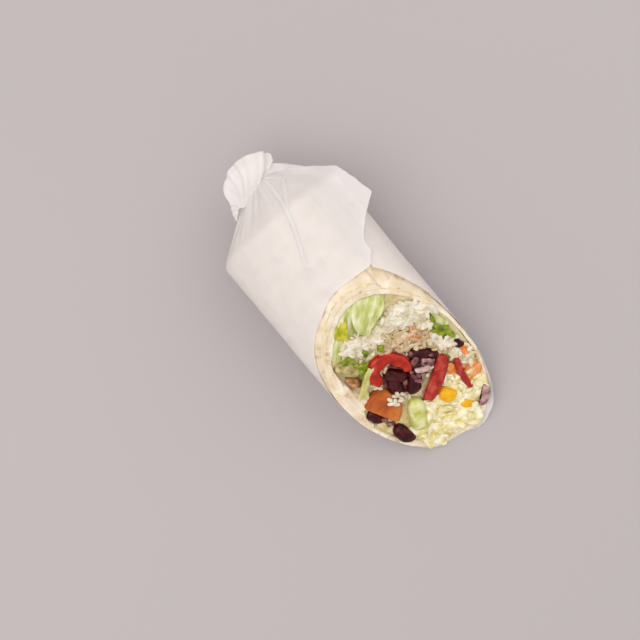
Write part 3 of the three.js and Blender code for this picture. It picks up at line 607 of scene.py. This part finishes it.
# Sweet pepper: a taut waxy skin over wet, brighter flesh. The dark strips are the same, cooked.
pepper_skin = food_surface(
    "red_pepper_skin", "980e05 b41a08 c82e10", 6, 2.5, 0.15, roughness=0.24, ior=1.34, coat_weight=0.15,
)
pepper_flesh = food_surface("red_pepper_flesh", "92170a a8220e bc3c1e", 5, 1.2, 0.3, roughness=0.3, ior=1.34)
cooked_pepper = food_surface(
    "cooked_dark_red_pepper", "801210 a41f18 c04a34", 5, 1.8, 0.35,
    roughness=0.26, ior=1.34, coat_weight=0.12,
)
orange_pepper = food_surface("orange_pepper_flesh", "a2450f b85c1a c87630", 8, 1.4, 0.35, roughness=0.33)
ring = add_topping(
    "pepper_ring", ring_shape(8.5, 7.2, 5.4, -26, 204), pepper_skin, "red_pepper",
    -6.3, 55.2, out=2.2, nod=-12,
)
ring.data.materials.append(pepper_flesh)
for face in ring.data.polygons:
    face.material_index = int(6 <= face.index % RING_COLUMNS <= 24)  # all but the outside, which is skin
PEPPER_CHUNK = [(-9.3, 5.7), (-0.5, 11.7), (6.3, 9), (9, -1.2), (6, -7.7), (0.6, -13.2), (-3.8, -6.4)]
add_topping("pepper_chunk", chunk_shape(PEPPER_CHUNK, 7), orange_pepper, "orange_pepper", -20.1, 74, out=-1)
add_topping(
    "pepper_strip_long", stick_shape(29.5, 7.4, 4.6, 1.2), cooked_pepper, "dark_red_pepper",
    11.2, 73, out=1.8, turn=45,
)
add_topping(
    "pepper_strip_short", stick_shape(20.5, 3.6, 3.4, -1.2), cooked_pepper, "dark_red_pepper",
    22.6, 78.2, out=1.8, turn=82,
)

# Kidney beans: a smooth dark maroon skin with a dull cooked bloom. One is split and shows its pale inside.
bean_skin = food_surface("kidney_bean_skin", "260305 3c080d 58181d", 4, 1.2, 0.22, roughness=0.33, ior=1.28)
bean_inside = food_surface("split_bean_inside", "825254 ac8685 c4a8a4", 3, 0.9, 0.2, roughness=0.5)
for name, length, width, x, down, out, turn in (
    ("bean_in_ring", 14.5, 9.6, -5.4, 60.2, -1.6, -44),
    ("bean_below_ring", 14.5, 9, -9.9, 67.6, -1.2, 70),
    ("bean_middle", 16.5, 7.8, 0, 69, 0.2, 56),
    ("bean_upper", 16.5, 10.4, 12.4, 56.8, -0.6, -42),
    ("bean_left", 11.5, 7, -27.5, 78.1, -1, -74),
    ("bean_front", 14.5, 9, -21.4, 95.9, 0.6, -80),
    ("bean_rim", 7.4, 5, 31.1, 60.5, -0.4, -74),
):
    add_topping(name, bean_shape(length, width), bean_skin, "kidney_bean", x, down, out=out, turn=turn)
split_bean = add_topping(
    "bean_right", bean_shape(14.5, 5), bean_skin, "split_bean", 25, 97.8, out=2.6, turn=52,
)
split_bean.data.materials.append(bean_inside)
for face in split_bean.data.polygons:
    face.material_index = int(face.normal.dot(Vector(FACE_OUT)) > 0.35)

# Maize: a glossy yellow kernel, its skin tight over the soft inside.
maize_kernel = food_surface(
    "maize_kernel_skin", "dc9800 eaae00 f2c010", 4, 2, 0.12, roughness=0.2, ior=1.36, coat_weight=0.12,
)
add_topping("corn_kernel", kernel_shape(9.4), maize_kernel, "corn", 9.7, 85.9, out=1.4, turn=25)
add_topping("corn_kernel_low", kernel_shape(7), maize_kernel, "corn", 15.2, 98, turn=70)

# Cucumber: wet, glassy green flesh, darker towards the skin along its sides.
cucumber_flesh = food_surface(
    "cut_cucumber_flesh", "b3b64e d3d08a e8e4b6", 5, 1.6, 0.2, roughness=0.18, ior=1.36, coat_weight=0.3,
)
add_topping(
    "cucumber_stick", soft_shape(22, 9, 8, 3.2), cucumber_flesh, "cucumber", -9, 88.4, out=0.6, turn=67,
)

# Mushroom: soft and matt where it is cut, browner at the cap's edge.
mushroom_flesh = food_surface(
    "cut_mushroom_flesh", "85733c b3a168 cfc294", 4, 1.3, 0.3, roughness=0.5, ior=1.38,
)
mushroom_cap = food_surface(
    "brown_mushroom_cap", "6b3d17 a06a38 cfa070", 3.4, 1.2, 0.2, roughness=0.32, ior=1.38,
)
add_topping(
    "mushroom_slice", soft_shape(13.4, 8.4, 6, 2.8), mushroom_flesh, "mushroom",
    -22.6, 42.4, out=-0.6, turn=-50,
)
add_topping(
    "mushroom_end", soft_shape(9.6, 5.6, 5, 2.2), mushroom_cap, "brown_mushroom",
    -24.5, 51.4, out=-0.8, turn=-64,
)

# Onion: thin glassy slivers, tinted pink by the beans.
onion_flesh = food_surface("stained_onion_flesh", "a87f80 c9aaa4 dccabf", 3, 1, 0.15, roughness=0.3, ior=1.38)
add_topping("onion_piece", stick_shape(10, 3.6, 2.2, 0.6), onion_flesh, "onion", 8.7, 63.4, out=2.6, turn=-14)

# Coriander leaf and stem: thin, fresh and bright green.
herb_green = food_surface("coriander_leaf", "485806 7e8e12 aab434", 4, 1.4, 0.15, roughness=0.4)
add_topping("herb_leaf_low", herb_shape(6.4, 4.2, 3), herb_green, "herb", -16.7, 45.3, out=2, turn=-108)
add_topping("herb_leaf_right", herb_shape(8, 4.4, 5), herb_green, "herb", 28.4, 48.7, out=1.4, turn=-60)
add_topping("herb_stem", stick_shape(11, 1.8, 1.6, 0.5), herb_green, "herb", 28.2, 37.6, out=1, turn=-104)

# Lettuce: crisp watery ribs that fan out into thin pale green leaf, and yellow-green folds beside them.
rib_direction = FACE_ACROSS * math.sin(math.radians(40)) + FACE_UP * math.cos(math.radians(40))
lettuce_rib = food_surface(
    "pale_lettuce_leaf", "a4ac52 cbcd88 eae9cc", 3.4, 1.7, 0.2, fibres=rib_direction,
    roughness=0.32, ior=1.38,
)
lettuce_yellow = food_surface(
    "yellow_green_lettuce_fold", "949a14 c2b830 d8d068", 5, 1.5, 0.2, roughness=0.32, ior=1.38,
)
wilted_lettuce = food_surface(
    "wilted_lettuce_ribbon", "a3a04a c6bf74 dcd49c", 5, 1.5, 0.2, roughness=0.36, ior=1.38,
)
for name, sizes, green, slot, x, down, out, turn, nod, roll in (
    ("leaf", (22, 5.5, 27, 0.9, 4, -0.7), lettuce_rib, "pale", 3, 16.2, 1.8, -40, -2, 0),
    ("fold", (5.6, 5.4, 21, 0.7, 2, -0.6), lettuce_yellow, "yellow", -10, 16, 0.8, -34, 0, 12),
    ("wall", (6, 8, 27, 0.5, 2, 0.5), lettuce_rib, "pale", -18.2, 22.8, -0.8, -37, 0, 12),
    ("ribbon", (3.4, 5.4, 20, 0.5, 1, 1), wilted_lettuce, "yellow", -19.5, 53, 2.8, -42, 0, 12),
    ("rim", (5.6, 4.6, 12, 0.5, 1, 0.4), lettuce_rib, "pale", 29.7, 42, -0.8, 24, 0, -14),
):
    name, points, slot = "lettuce_" + name, leaf_shape(*sizes), slot + "_lettuce"
    add_topping(name, points, green, slot, x, down, out=out, turn=turn, nod=nod, roll=roll)
colour_patch(rice_core, lettuce_rib, -9, 20, 16, 13)  # more of the leaf, pressed into the filling behind them

# Loose grains and bits on the cut: long-grain rice 5 to 7 mm, chopped cabbage and onion 2 to 11 mm, carrot.
# Each lies on what is under it, and they are pressed close, with dark gaps between: partly real shadow, partly
# the cores' painted shade.


def surface_of(piece):
    """A piece's faces, to cast rays at."""
    points = [v.co.copy() for v in piece.data.vertices]
    return BVHTree.FromPolygons(points, [tuple(f.vertices) for f in piece.data.polygons])


under_bits = [(piece.name, surface_of(piece)) for piece in list(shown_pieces()) if "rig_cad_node" not in piece]


def what_lies_under(x, down, above=25, ray_length=40):
    """The piece met first from outside the cut at this place, and how far out its surface is there."""
    start = Vector((face_point(x, down, above) + TO_PART) / 1000)
    best = (None, -9.0)
    for name, tree in under_bits:
        distance = tree.ray_cast(start, Vector(-FACE_OUT), ray_length / 1000)[3]
        if distance is not None and above - distance * 1000 > best[1]:
            best = (name, above - distance * 1000)
    return best


def grain_shape(length, width, bend):
    """A grain of rice: a bent egg."""
    points = lump(width / 2, length / 2, width * 0.45, 2.3, around=10, rows=9)
    points[..., 0] += bend * (points[..., 1] / (length / 2)) ** 2
    return points


def crumb_shape(length, width, height, seed):
    """An uneven chopped bit."""
    points = lump(width / 2, length / 2, height / 2, 3.6, around=12, rows=9)
    return points * (1 + 0.34 * bumps(points + seed * 7.3, 0.35 * length)[..., None])


def shred_shape(length, width, height, seed):
    """A wavy grated or sliced strip."""
    points = lump(width / 2, length / 2, height / 2, 3, around=8, rows=9)
    points[..., 0] += 1.1 * np.sin(points[..., 1] * 5 / length + seed)
    return points + 0.2 * bumps(points + seed, 1.5)[..., None]


RICE = (grain_shape, (4.8, 7), (2.5, 3.1), (-0.7, 0.7))
CHOPPED_BIT = (crumb_shape, (4.5, 11), (3.2, 6.2), (1.4, 2.8), (0, 9))
SMALL_BIT = (crumb_shape, (1.8, 5), (1.5, 3), (0.9, 1.8), (0, 9))
BIT_RISE = 0.3  # from what it lies on to a bit's middle
DEEPEST_BIT = -7  # none is put further behind the cut than this
LOWEST_BIT = 0.2  # and none reaches lower than this above the table


def scatter(name, material, slot, seed, clumps, kind, lies_on="core", tilt=11, rise=(0, 1.2), keep_off=None):
    """Bits of one kind in clumps: middle across and down the cut, half width, half length, and how many.

    The kind is a shape and its measures, each one value or the two that it is picked between. No bit lies in
    the place to keep off, given like a clump."""
    pick = np.random.default_rng(seed)
    make_bit, *measures = kind
    verts, faces, taken, first = [], [], np.full((1, 2), 999.0), 0
    for x, down, half_x, half_down, count in clumps:
        for _ in range(count):
            turn, far = pick.uniform(0, 2 * np.pi, 7), np.sqrt(pick.uniform(0, 1, 7))
            spots = np.stack([x + half_x * far * np.cos(turn), down + half_down * far * np.sin(turn)], -1)
            room = np.linalg.norm(spots[:, None] - taken[None], axis=-1).min(1)
            at_x, at_down = spots[room.argmax()]
            taken = np.append(taken, [[at_x, at_down]], 0)
            found, level = what_lies_under(at_x, at_down)
            bit = make_bit(*[pick.uniform(*m) if isinstance(m, tuple) else m for m in measures])
            spin, nod, roll, up = pick.uniform(0, 360), *pick.normal(0, tilt, 2), pick.uniform(*rise)
            if found is None or level < DEEPEST_BIT or not any(word in found for word in lies_on.split()):
                continue
            if keep_off:
                off_x, off_down, off_width, off_length = keep_off
                if math.hypot((at_x - off_x) / off_width, (at_down - off_down) / off_length) < 1:
                    continue
            bit = on_face(bit, at_x, at_down, level + BIT_RISE + up, turn=spin, nod=nod, roll=roll)
            bit[..., 2] += max(0, LOWEST_BIT - bit[..., 2].min())
            verts.append(bit.reshape(-1, 3))
            faces += [tuple(first + i for i in side) for side in grid_faces(bit)]
            first += len(verts[-1])
    make_piece(name, np.concatenate(verts), faces, material, slot + "_filling")


# Boiled rice: white and moist, with soft highlights. Beans have stained some of it beige.
boiled_rice = food_surface("boiled_white_rice", "cbbd9c ddd2ba ece5d6", 5, 1.5, 0.08, roughness=0.34)
stained_rice = food_surface("bean_stained_rice", "b4926c c8a886 dcc6a8", 4, 1.5, 0.08, roughness=0.34)
# Chopped onion, cabbage, crushed beans and carrot: raw and wet, each a little shinier where it is glassier.
glassy_onion = food_surface(
    "chopped_glassy_onion", "bfa976 d2bf96 e6dabc", 4, 1.3, 0.15, roughness=0.28, ior=1.38,
)
raw_cabbage = food_surface(
    "chopped_raw_cabbage", "d6c67a ece0b0 faf5e2", 4, 1.4, 0.2, roughness=0.34, ior=1.38,
)
white_cabbage = food_surface(
    "white_cabbage_rib", "e6dcb4 f2ebd0 faf6e8", 4, 1.4, 0.12, roughness=0.32, ior=1.38,
)
crushed_beans = food_surface(
    "crushed_bean_and_onion", "4c1c24 7c484c b48e88", 3, 1.2, 0.15, roughness=0.4, ior=1.36,
)
grated_carrot = food_surface("grated_carrot", "d0681c e08a44 e8ac78", 3, 1.2, 0.15, roughness=0.34)
scatter("rice_grains", boiled_rice, "rice", 3, [
    (18, 28.5, 10, 7, 56), (8, 29, 6, 4, 20), (-13, 32, 6, 5, 32), (-4, 33, 5, 4, 22), (26, 35, 6, 8, 24),
    (27, 53, 6, 7, 26), (30, 68, 4, 8, 14), (16, 28.5, 8, 5, 18), (-13, 32, 5, 4, 12),
], RICE)
scatter("rice_grains_stained", stained_rice, "rice", 5, [
    (6, 43, 10, 4.5, 20), (19, 48, 6, 5, 8), (15, 64, 4, 4, 6),
], RICE)
scatter("rice_cluster", boiled_rice, "rice", 8, [
    (-11.6, 72.3, 6, 3.2, 10), (-17.4, 62.7, 1.2, 0.8, 2),
], (grain_shape, (3.2, 4.6), 2.3, 0), lies_on="core chunk bean", rise=(0, 0.5))
scatter("onion_bits", glassy_onion, "rice", 11, [
    (2, 33, 9, 6, 70), (3, 39, 9, 4, 34), (29, 72, 6, 13, 90), (20, 80, 9, 8, 40), (-26, 56, 6, 12, 24),
    (2, 52, 32, 30, 200),
], SMALL_BIT, keep_off=(-3, 62.5, 12, 9.5))
scatter("bean_mash", crushed_beans, "rice", 12, [
    (6, 63, 5, 6, 18), (15, 61, 5, 4, 9), (4, 53, 5, 3, 8), (-22, 84, 3, 5, 8),
], SMALL_BIT, lies_on="core bean", rise=(0, 0.9))
scatter("cabbage_bits", raw_cabbage, "cabbage", 13, [
    (8, 99, 24, 15, 110), (20, 86, 11, 9, 34), (6, 99, 22, 12, 40),
], CHOPPED_BIT, tilt=20, rise=(0, 1.6))
scatter("cabbage_over_rim", raw_cabbage, "cabbage", 14, [
    (-8, 111, 8, 2, 9), (10, 111, 6, 1.6, 4),
], CHOPPED_BIT, lies_on="tortilla core", rise=(0, 0.5))
scatter("cabbage_slivers", white_cabbage, "cabbage", 15, [
    (4, 98, 18, 12, 22), (16, 82, 8, 6, 8), (13.6, 103.4, 0.6, 0.6, 1),
], (shred_shape, (6, 11), (1.6, 2.6), 1.2, (0, 9)), rise=(0, 2))
scatter("carrot_shreds", grated_carrot, "rice", 17, [
    (15, 41.5, 1.5, 2, 2), (18.5, 40, 1, 1, 1), (31.3, 66.5, 1, 1, 2), (-24, 60, 3, 5, 2),
], (shred_shape, (4, 8), (1.8, 3), (1, 1.6), (0, 9)), rise=(0, 1.6))
scatter("carrot_crumbs", grated_carrot, "rice", 18, [
    (27.6, 80, 3.4, 5.5, 14), (19.6, 73.5, 1.2, 4, 6), (31.2, 67.1, 0.5, 0.5, 1),
], (crumb_shape, (3.6, 6.4), (2.4, 3.8), 1.2, (0, 9)), rise=(1.2, 2.4))
scatter("herb_bits", herb_green, "rice", 19, [
    (-2.5, 39.2, 0.2, 0.2, 1), (-19.6, 36.4, 1.8, 1.4, 2), (-11, 37.6, 0.6, 0.6, 1),
], (crumb_shape, (4.6, 5.4), 3.6, 0.8, (0, 9)), rise=(1.7, 2.3))

# The paper: one sheet of thin white greaseproof tissue, rolled round with its free edge on the top right.
# Its corner stands off the roll there. At the closed end it is gathered into folds and twisted into a fan.
GATHERS = 8
GATHER_DEPTH = 0.14
SHEET_THICKNESS = 0.12
PAPER_SETBACK = [  # degrees round the roll, and how far back from the cut the front edge lies there
    (0, 2), (35, 7), (58, 10), (90, 3.2), (115, 2.4), (150, 5.5), (185, 2), (240, 1), (275, 1), (315, -3),
    (360, 2),
]
FLAP_EDGE = np.array([  # x and distance from the closed end
    (19.5, 64), (25.5, 58.5), (25.8, 51.2), (34.2, 43), (45.5, 35), (42.4, 21.5), (40, 13), (30, 4.5),
    (19, -3.5),
])
FLAP_LEAVES_ROLL = 26
FLAP_BEND = 2.5
FLAP_FALL = 0.5
FLAP_LIFT = 1.1
SHEET_START = 87  # degrees: from here on the sheet lies on the roll
SHEET_INNER_EDGE = 418


def setback(degrees):
    """How far back from the cut the paper's front edge lies."""
    keys = np.array(PAPER_SETBACK, float)
    after = np.clip(np.searchsorted(keys[:, 0], degrees % 360, side="right"), 1, len(keys) - 1)
    low, high = keys[after - 1], keys[after]
    return low[:, 1] + (high[:, 1] - low[:, 1]) * smooth(degrees % 360, low[:, 0], high[:, 0])


def top_of_roll(x, along):
    """Height of the roll's top at a place."""
    size = drawn_in(along)
    start = (x - NECK_X * (1 - size)) / size
    share = np.minimum(np.abs(start) / ROLL_HALF_WIDTH, 1)
    squareness = np.where(start < 0, TOP_LEFT_SQUARENESS, TOP_SQUARENESS)
    rise = (1 - share ** squareness) ** (1 / squareness)
    full = WIDEST_AT + (ROLL_HEIGHT - WIDEST_AT) * rise + LEAN * start * rise ** (squareness / 2)
    return NECK_Z + (full - NECK_Z) * size


def gather(angle, along):
    """How far folds that run into the neck push the sheet out, as a share of its distance from the neck."""
    share = np.clip((SHOULDER - along) / (SHOULDER - NECK), 0, 1)
    fine = 0.05 * np.cos(21 * angle + 1.3) + 0.03 * np.cos(34 * angle)
    return GATHER_DEPTH * share ** 2 * np.cos(GATHERS * angle) + fine * share ** 1.5


def waver(at, size):
    """Smooth noise along a line."""
    return bumps(xyz(at, 0, 0), size)


knots = np.concatenate([[0], np.cumsum(np.linalg.norm(np.diff(FLAP_EDGE, axis=0), axis=1))])
sheet_rows = np.linspace(0, knots[-1], 150)
edge_x, edge_along = (np.interp(sheet_rows, knots, FLAP_EDGE[:, k]) for k in (0, 1))
edge_x = edge_x + 0.5 * waver(sheet_rows, 4.5)
down_sheet = (edge_along[0] - edge_along) / (edge_along[0] - edge_along[-1])
degrees = np.concatenate([np.linspace(SHEET_START, 185, 150)[:-1], np.linspace(185, SHEET_INNER_EDGE, 170)])
angle = np.radians(degrees)[None, :]
section_x, section_z = section_point(angle, 0)
front = cut_along(section_x, section_z) - setback(degrees) + 0.5 * waver(degrees * 0.6, 6)
along = front + (NECK - front) * down_sheet[:, None]
under = 0.35 * smooth(degrees, 290, 350)
wrap = roll_point(angle, along, under)
folds = 1 + gather(angle, along)
wrap[..., 0] = NECK_X + (wrap[..., 0] - NECK_X) * folds
wrap[..., 2] = NECK_Z + (wrap[..., 2] - NECK_Z) * folds
share = np.linspace(1, 0, 100)[None, :-1]
start_x = NECK_X + (section_x[0, 0] - NECK_X) * drawn_in(along[:, :1])
flap_x = start_x + (edge_x[:, None] - start_x) * share
flap_along = along[:, :1] + (edge_along[:, None] - along[:, :1]) * share
leaves = np.minimum(FLAP_LEAVES_ROLL, NECK_X + (ROLL_HALF_WIDTH * 0.72 - NECK_X) * drawn_in(flap_along))
beyond = FLAP_BEND * np.log1p(np.exp((flap_x - leaves) / FLAP_BEND))
flap_z = top_of_roll(flap_x - beyond, flap_along) - FLAP_FALL * beyond + FLAP_LIFT * smooth(share, 0, 0.45)
flap_z = flap_z + (flap_z - NECK_Z) * gather(angle[:, :1], flap_along) * (1 - share)
flap = xyz(flap_x, -flap_along, flap_z)
sheet = np.concatenate([flap, wrap], 1)
outward = sheet - np.array([NECK_X * 0.2, 0, WIDEST_AT])
outward[..., 1] = 0
outward /= np.linalg.norm(outward, axis=-1)[..., None]
spots = sheet * np.array([1, 0.45, 1])
drape = 0.34 * bumps(spots, 10) + 0.1 * bumps(spots, 3.2)
sheet = sheet + outward * drape[..., None]
sheet[..., 2] = np.maximum(sheet[..., 2], 0.06)

# Greaseproof tissue: smooth, slightly see-through, so the bread tints it; fine cloudy fibres 1 to 3 mm long.
greaseproof, shader = new_surface("greaseproof_tissue", roughness=0.55, ior=1.45, alpha=0.53)
place = add_node(greaseproof, "ShaderNodeTexCoord").outputs["Object"]
paper_hue = add_node(
    greaseproof, "ShaderNodeMix", [("data_type", "RGBA"), (6, linear("f1eae7")), (7, linear("fbf6f4"))],
    [(0, add_pattern(greaseproof, place, 25 / 3, detail=3))],
)
fibre_relief = add_node(
    greaseproof, "ShaderNodeBump", [("Strength", 0.4), ("Distance", 0.0002)],
    [("Height", add_pattern(greaseproof, place, 2, detail=4))],
)
greaseproof.node_tree.links.new(paper_hue.outputs[2], shader.inputs["Base Color"])
greaseproof.node_tree.links.new(fibre_relief.outputs["Normal"], shader.inputs["Normal"])


def make_sheet(name, points, wrap=False):
    """A piece of the paper, with its thickness."""
    piece = make_piece(name, points, grid_faces(points, wrap), greaseproof, "paper_wrap")
    thick = piece.modifiers.new("thickness", "SOLIDIFY")
    thick.thickness = SHEET_THICKNESS / 1000
    thick.offset = 0
    return piece


sleeve_surface = surface_of(make_sheet("paper_sleeve", sheet))


def on_sleeve(x, along, above=90, ray_length=80):
    """Height of the sleeve's top at a place."""
    start = (np.array([x, -along, above]) + TO_PART) / 1000
    distance = sleeve_surface.ray_cast(Vector(start), Vector((0, 0, -1)), ray_length / 1000)[3]
    return above - distance * 1000 if distance is not None else NECK_Z


def along_path(curve, share):
    """Places part of the way along a curve of x and distance from the closed end."""
    knots = np.linspace(0, 1, len(curve))
    return np.stack([np.interp(share, knots, np.array(curve, float)[:, k]) for k in (0, 1)], -1)


def pleat_points(curve, width, height):
    """A fold of the sheet that lies over itself, along a curve."""
    share = np.linspace(0, 1, 80)
    path = along_path(curve, share)
    even = np.ones(15) / 15
    path = np.stack([np.convolve(np.pad(path[:, k], 7, "edge"), even, "valid") for k in (0, 1)], -1)
    ahead = np.gradient(path, axis=0)
    ahead /= np.linalg.norm(ahead, axis=1)[:, None]
    turn = full_turn(18)
    fades = ((1 - 0.5 * share) * (1 - smooth(share, 0.86, 1)) + 0.02)[:, None]
    across = width * (0.5 * np.cos(turn) - 0.2 * np.maximum(np.sin(turn), 0)) * (0.4 + 0.6 * fades)
    up = height * fades * np.where(np.sin(turn) > 0, np.sin(turn), 0.3 * np.sin(turn))
    x = path[:, :1] + across * ahead[:, 1:]
    along = path[:, 1:] - across * ahead[:, :1]
    level = np.array([[on_sleeve(a, b) for a, b in zip(*row)] for row in zip(x, along)])
    return xyz(x, -along, level + up)


LONG_PLEAT = [(7.2, -7), (7.6, 0.4), (6.1, 12.3), (3.7, 21.5), (0.5, 30.5), (-3.1, 38.3), (-6.7, 46.1)]
SHORT_PLEAT = [(15, 1), (10.2, 8.7), (5.5, 15.8)]
BACK_PLEAT = [(8, -7.4), (11.5, -4.2), (15.4, 0.4)]
make_sheet("paper_pleat_long", pleat_points(LONG_PLEAT, 2.7, 0.8), wrap=True)
make_sheet("paper_pleat_short", pleat_points(SHORT_PLEAT, 2.4, 0.7), wrap=True)
make_sheet("paper_pleat_back", pleat_points(BACK_PLEAT, 4.4, 0.8), wrap=True)

# Behind the last fold the sheet stands out from the roll towards the twist.
BACK_FOLD_INNER = [(7, -7), (12, -4), (17, 0), (22, 4.6), (29, 10)]
BACK_FOLD_OUTER = [(10.6, -12.4), (15.8, -10.1), (21, -5.4), (26.6, 0.4), (31.4, 8)]
BACK_FOLD_HEIGHT = 37
FAN_START = 1.4  # the fan's pleats begin this far from its gathered point
v = np.linspace(0, 1, 16)[:, None]
share = np.linspace(0, 1, 70)[None, :]
inner, outer = along_path(BACK_FOLD_INNER, share), along_path(BACK_FOLD_OUTER, share)
back_fold = inner + (outer - inner) * v[..., None]
uneven = bumps(xyz(share * 30, v * 8, 0), 3)
ripple = 0.5 * np.sin(share * 14 + 2.4 * v) * v + 0.25 * uneven
inner_z = top_of_roll(inner[..., 0], inner[..., 1])
back_z = inner_z + (BACK_FOLD_HEIGHT - 1.5 * share - inner_z) * v ** 1.3 + ripple + 0.4
make_sheet("paper_back_fold", xyz(back_fold[..., 0], -back_fold[..., 1], back_z))


def fan_points(degrees, reaches, apex, slopes, depth, swirl, rings, seed):
    """A pleated fan of paper round its gathered point. Degrees run from straight back, to the right side."""
    steps = len(degrees) - 1
    at = np.linspace(0, steps, steps * 8 + 1)[None, :]
    direction = np.interp(at, range(steps + 1), degrees)
    reach = np.interp(at, range(steps + 1), reaches)
    v = np.linspace(0, 1, rings)[:, None]
    pleat = squared(np.cos(np.pi * (at + 0.35 * np.sin(at * 1.3 + seed))), 0.7)
    pleat = pleat * (0.75 + 0.45 * np.sin(at * 0.9 + 2 * seed))
    rough = bumps(xyz(at, 3 * v, seed), 1.6)
    out = FAN_START + (reach * (1 + 0.03 * rough) - FAN_START) * v
    turned = np.radians(direction + swirl * (1 - v) + 3.0 * rough)
    x = apex[0] + np.sin(turned) * out
    y = apex[1] + np.cos(turned) * out
    slope = slopes[0] + (slopes[1] - slopes[0]) * smooth(direction, -20, 58)
    z = apex[2] + slope * out - pleat * depth * v + 0.6 * rough * v
    return xyz(x, y, z)


make_sheet("paper_fan_large", fan_points(
    [61, 56, 51, 45, 39, 33, 27, 21, 15, 9, 2, -6, -16, -30, -60, -95, -122],
    [32.5, 30.9, 29.8, 28.3, 26.8, 25, 23.6, 22, 19, 17.4, 15.6, 12.8, 7.4, 5.4, 4.6, 5, 6],
    (-12.4, 1, 40), slopes=(-0.55, 0.1), depth=0.9, swirl=30, rings=40, seed=1,
))
make_sheet("paper_fan_tab", fan_points(
    [8, 22, 34, 44, 54, 66], [9, 11.4, 13.2, 14.4, 14.2, 11.5],
    (6.5, 5.5, 39.5), slopes=(-0.02, -0.02), depth=0.7, swirl=0, rings=16, seed=4,
))
make_sheet("paper_fan_below", fan_points(
    [58, 46, 34, 22, 10, -2, -14, -30, -60], [22, 23, 21.5, 20.5, 18, 16.5, 13, 8, 5],
    (-9, 1.5, 36.5), slopes=(-0.5, -0.5), depth=1.4, swirl=0, rings=24, seed=7,
))


def narrowed(ring, share):
    """A ring of points drawn in towards its middle."""
    middle = ring.mean(1, keepdims=True)
    return middle + (ring - middle) * share


# The twist itself: a fluted stem between the neck and the fan, which thins out and turns as it goes.
share = np.linspace(0, 1, 40)[:, None]
turn = full_turn(120)
flutes = 1 + 0.12 * np.cos(9 * turn) + 0.05 * np.cos(17 * turn + 2)
radius = (5.6 - 1.4 * share) * (1 - smooth(share, 0.55, 1) * 0.85) * flutes
twisted = turn + 1.6 * share
stem = xyz(
    6 - 9 * share + np.cos(twisted) * 0.4,
    5 + 3.5 * share + np.cos(twisted) * radius,
    36 - 1.5 * share + np.sin(twisted) * radius,
)
start, end = stem[:1], stem[-1:]
stem = np.concatenate([narrowed(start, 0), narrowed(start, 0.5), stem, narrowed(end, 0.5), narrowed(end, 0)])
make_piece("paper_twist", stem, grid_faces(stem), greaseproof, "paper_wrap")

# The surface that it lies on: plain, pale and matt.
bpy.ops.mesh.primitive_plane_add(size=4, location=(0, 0, -0.0004))
table = bpy.context.object
table.name = "table_top"
table_paint = new_surface("matt_pale_table", roughness=0.6, base_color=linear("b3abac"))[0]
table.data.materials.append(table_paint)


def add_lamp(name, size, energy, colour, location):
    """A soft square lamp that shines on the middle of the roll."""
    lamp = bpy.data.objects.new(name, bpy.data.lights.new(name, "AREA"))
    lamp.data.size, lamp.data.energy, lamp.data.color = size, energy, colour
    lamp.location = location
    lamp.rotation_euler = (Vector((0, 0, 0.03)) - lamp.location).to_track_quat("-Z", "Y").to_euler()
    scene.collection.objects.link(lamp)


# One large soft lamp from the left of the view, a weak one on the right, and an even pale sky for the rest.
add_lamp("soft_lamp", 1.1, 6.8, (1, 0.98, 0.95), (-0.52, 0.14, 1.25))
add_lamp("fill_lamp", 0.9, 2.1, (1, 0.98, 0.96), (0.75, 0.1, 0.75))
sky = bpy.data.worlds.new("pale_sky")
sky.use_nodes = True
sky.node_tree.nodes["Background"].inputs["Color"].default_value = (1, 0.988, 0.98, 1)
sky.node_tree.nodes["Background"].inputs["Strength"].default_value = 0.8
scene.world = sky
scene.view_settings.view_transform = "Standard"

# The camera looks straight down, turned so that the cut end is at the lower right.
camera = bpy.data.objects.new("camera", bpy.data.cameras.new("camera"))
camera.data.lens = 71.8
camera.data.sensor_width = 36
camera.data.clip_start = 0.01
camera.location = (np.array([-17.2, -68.7, 700]) + TO_PART) / 1000
camera.rotation_euler = (0, 0, math.radians(-39.85))
scene.collection.objects.link(camera)
scene.camera = camera
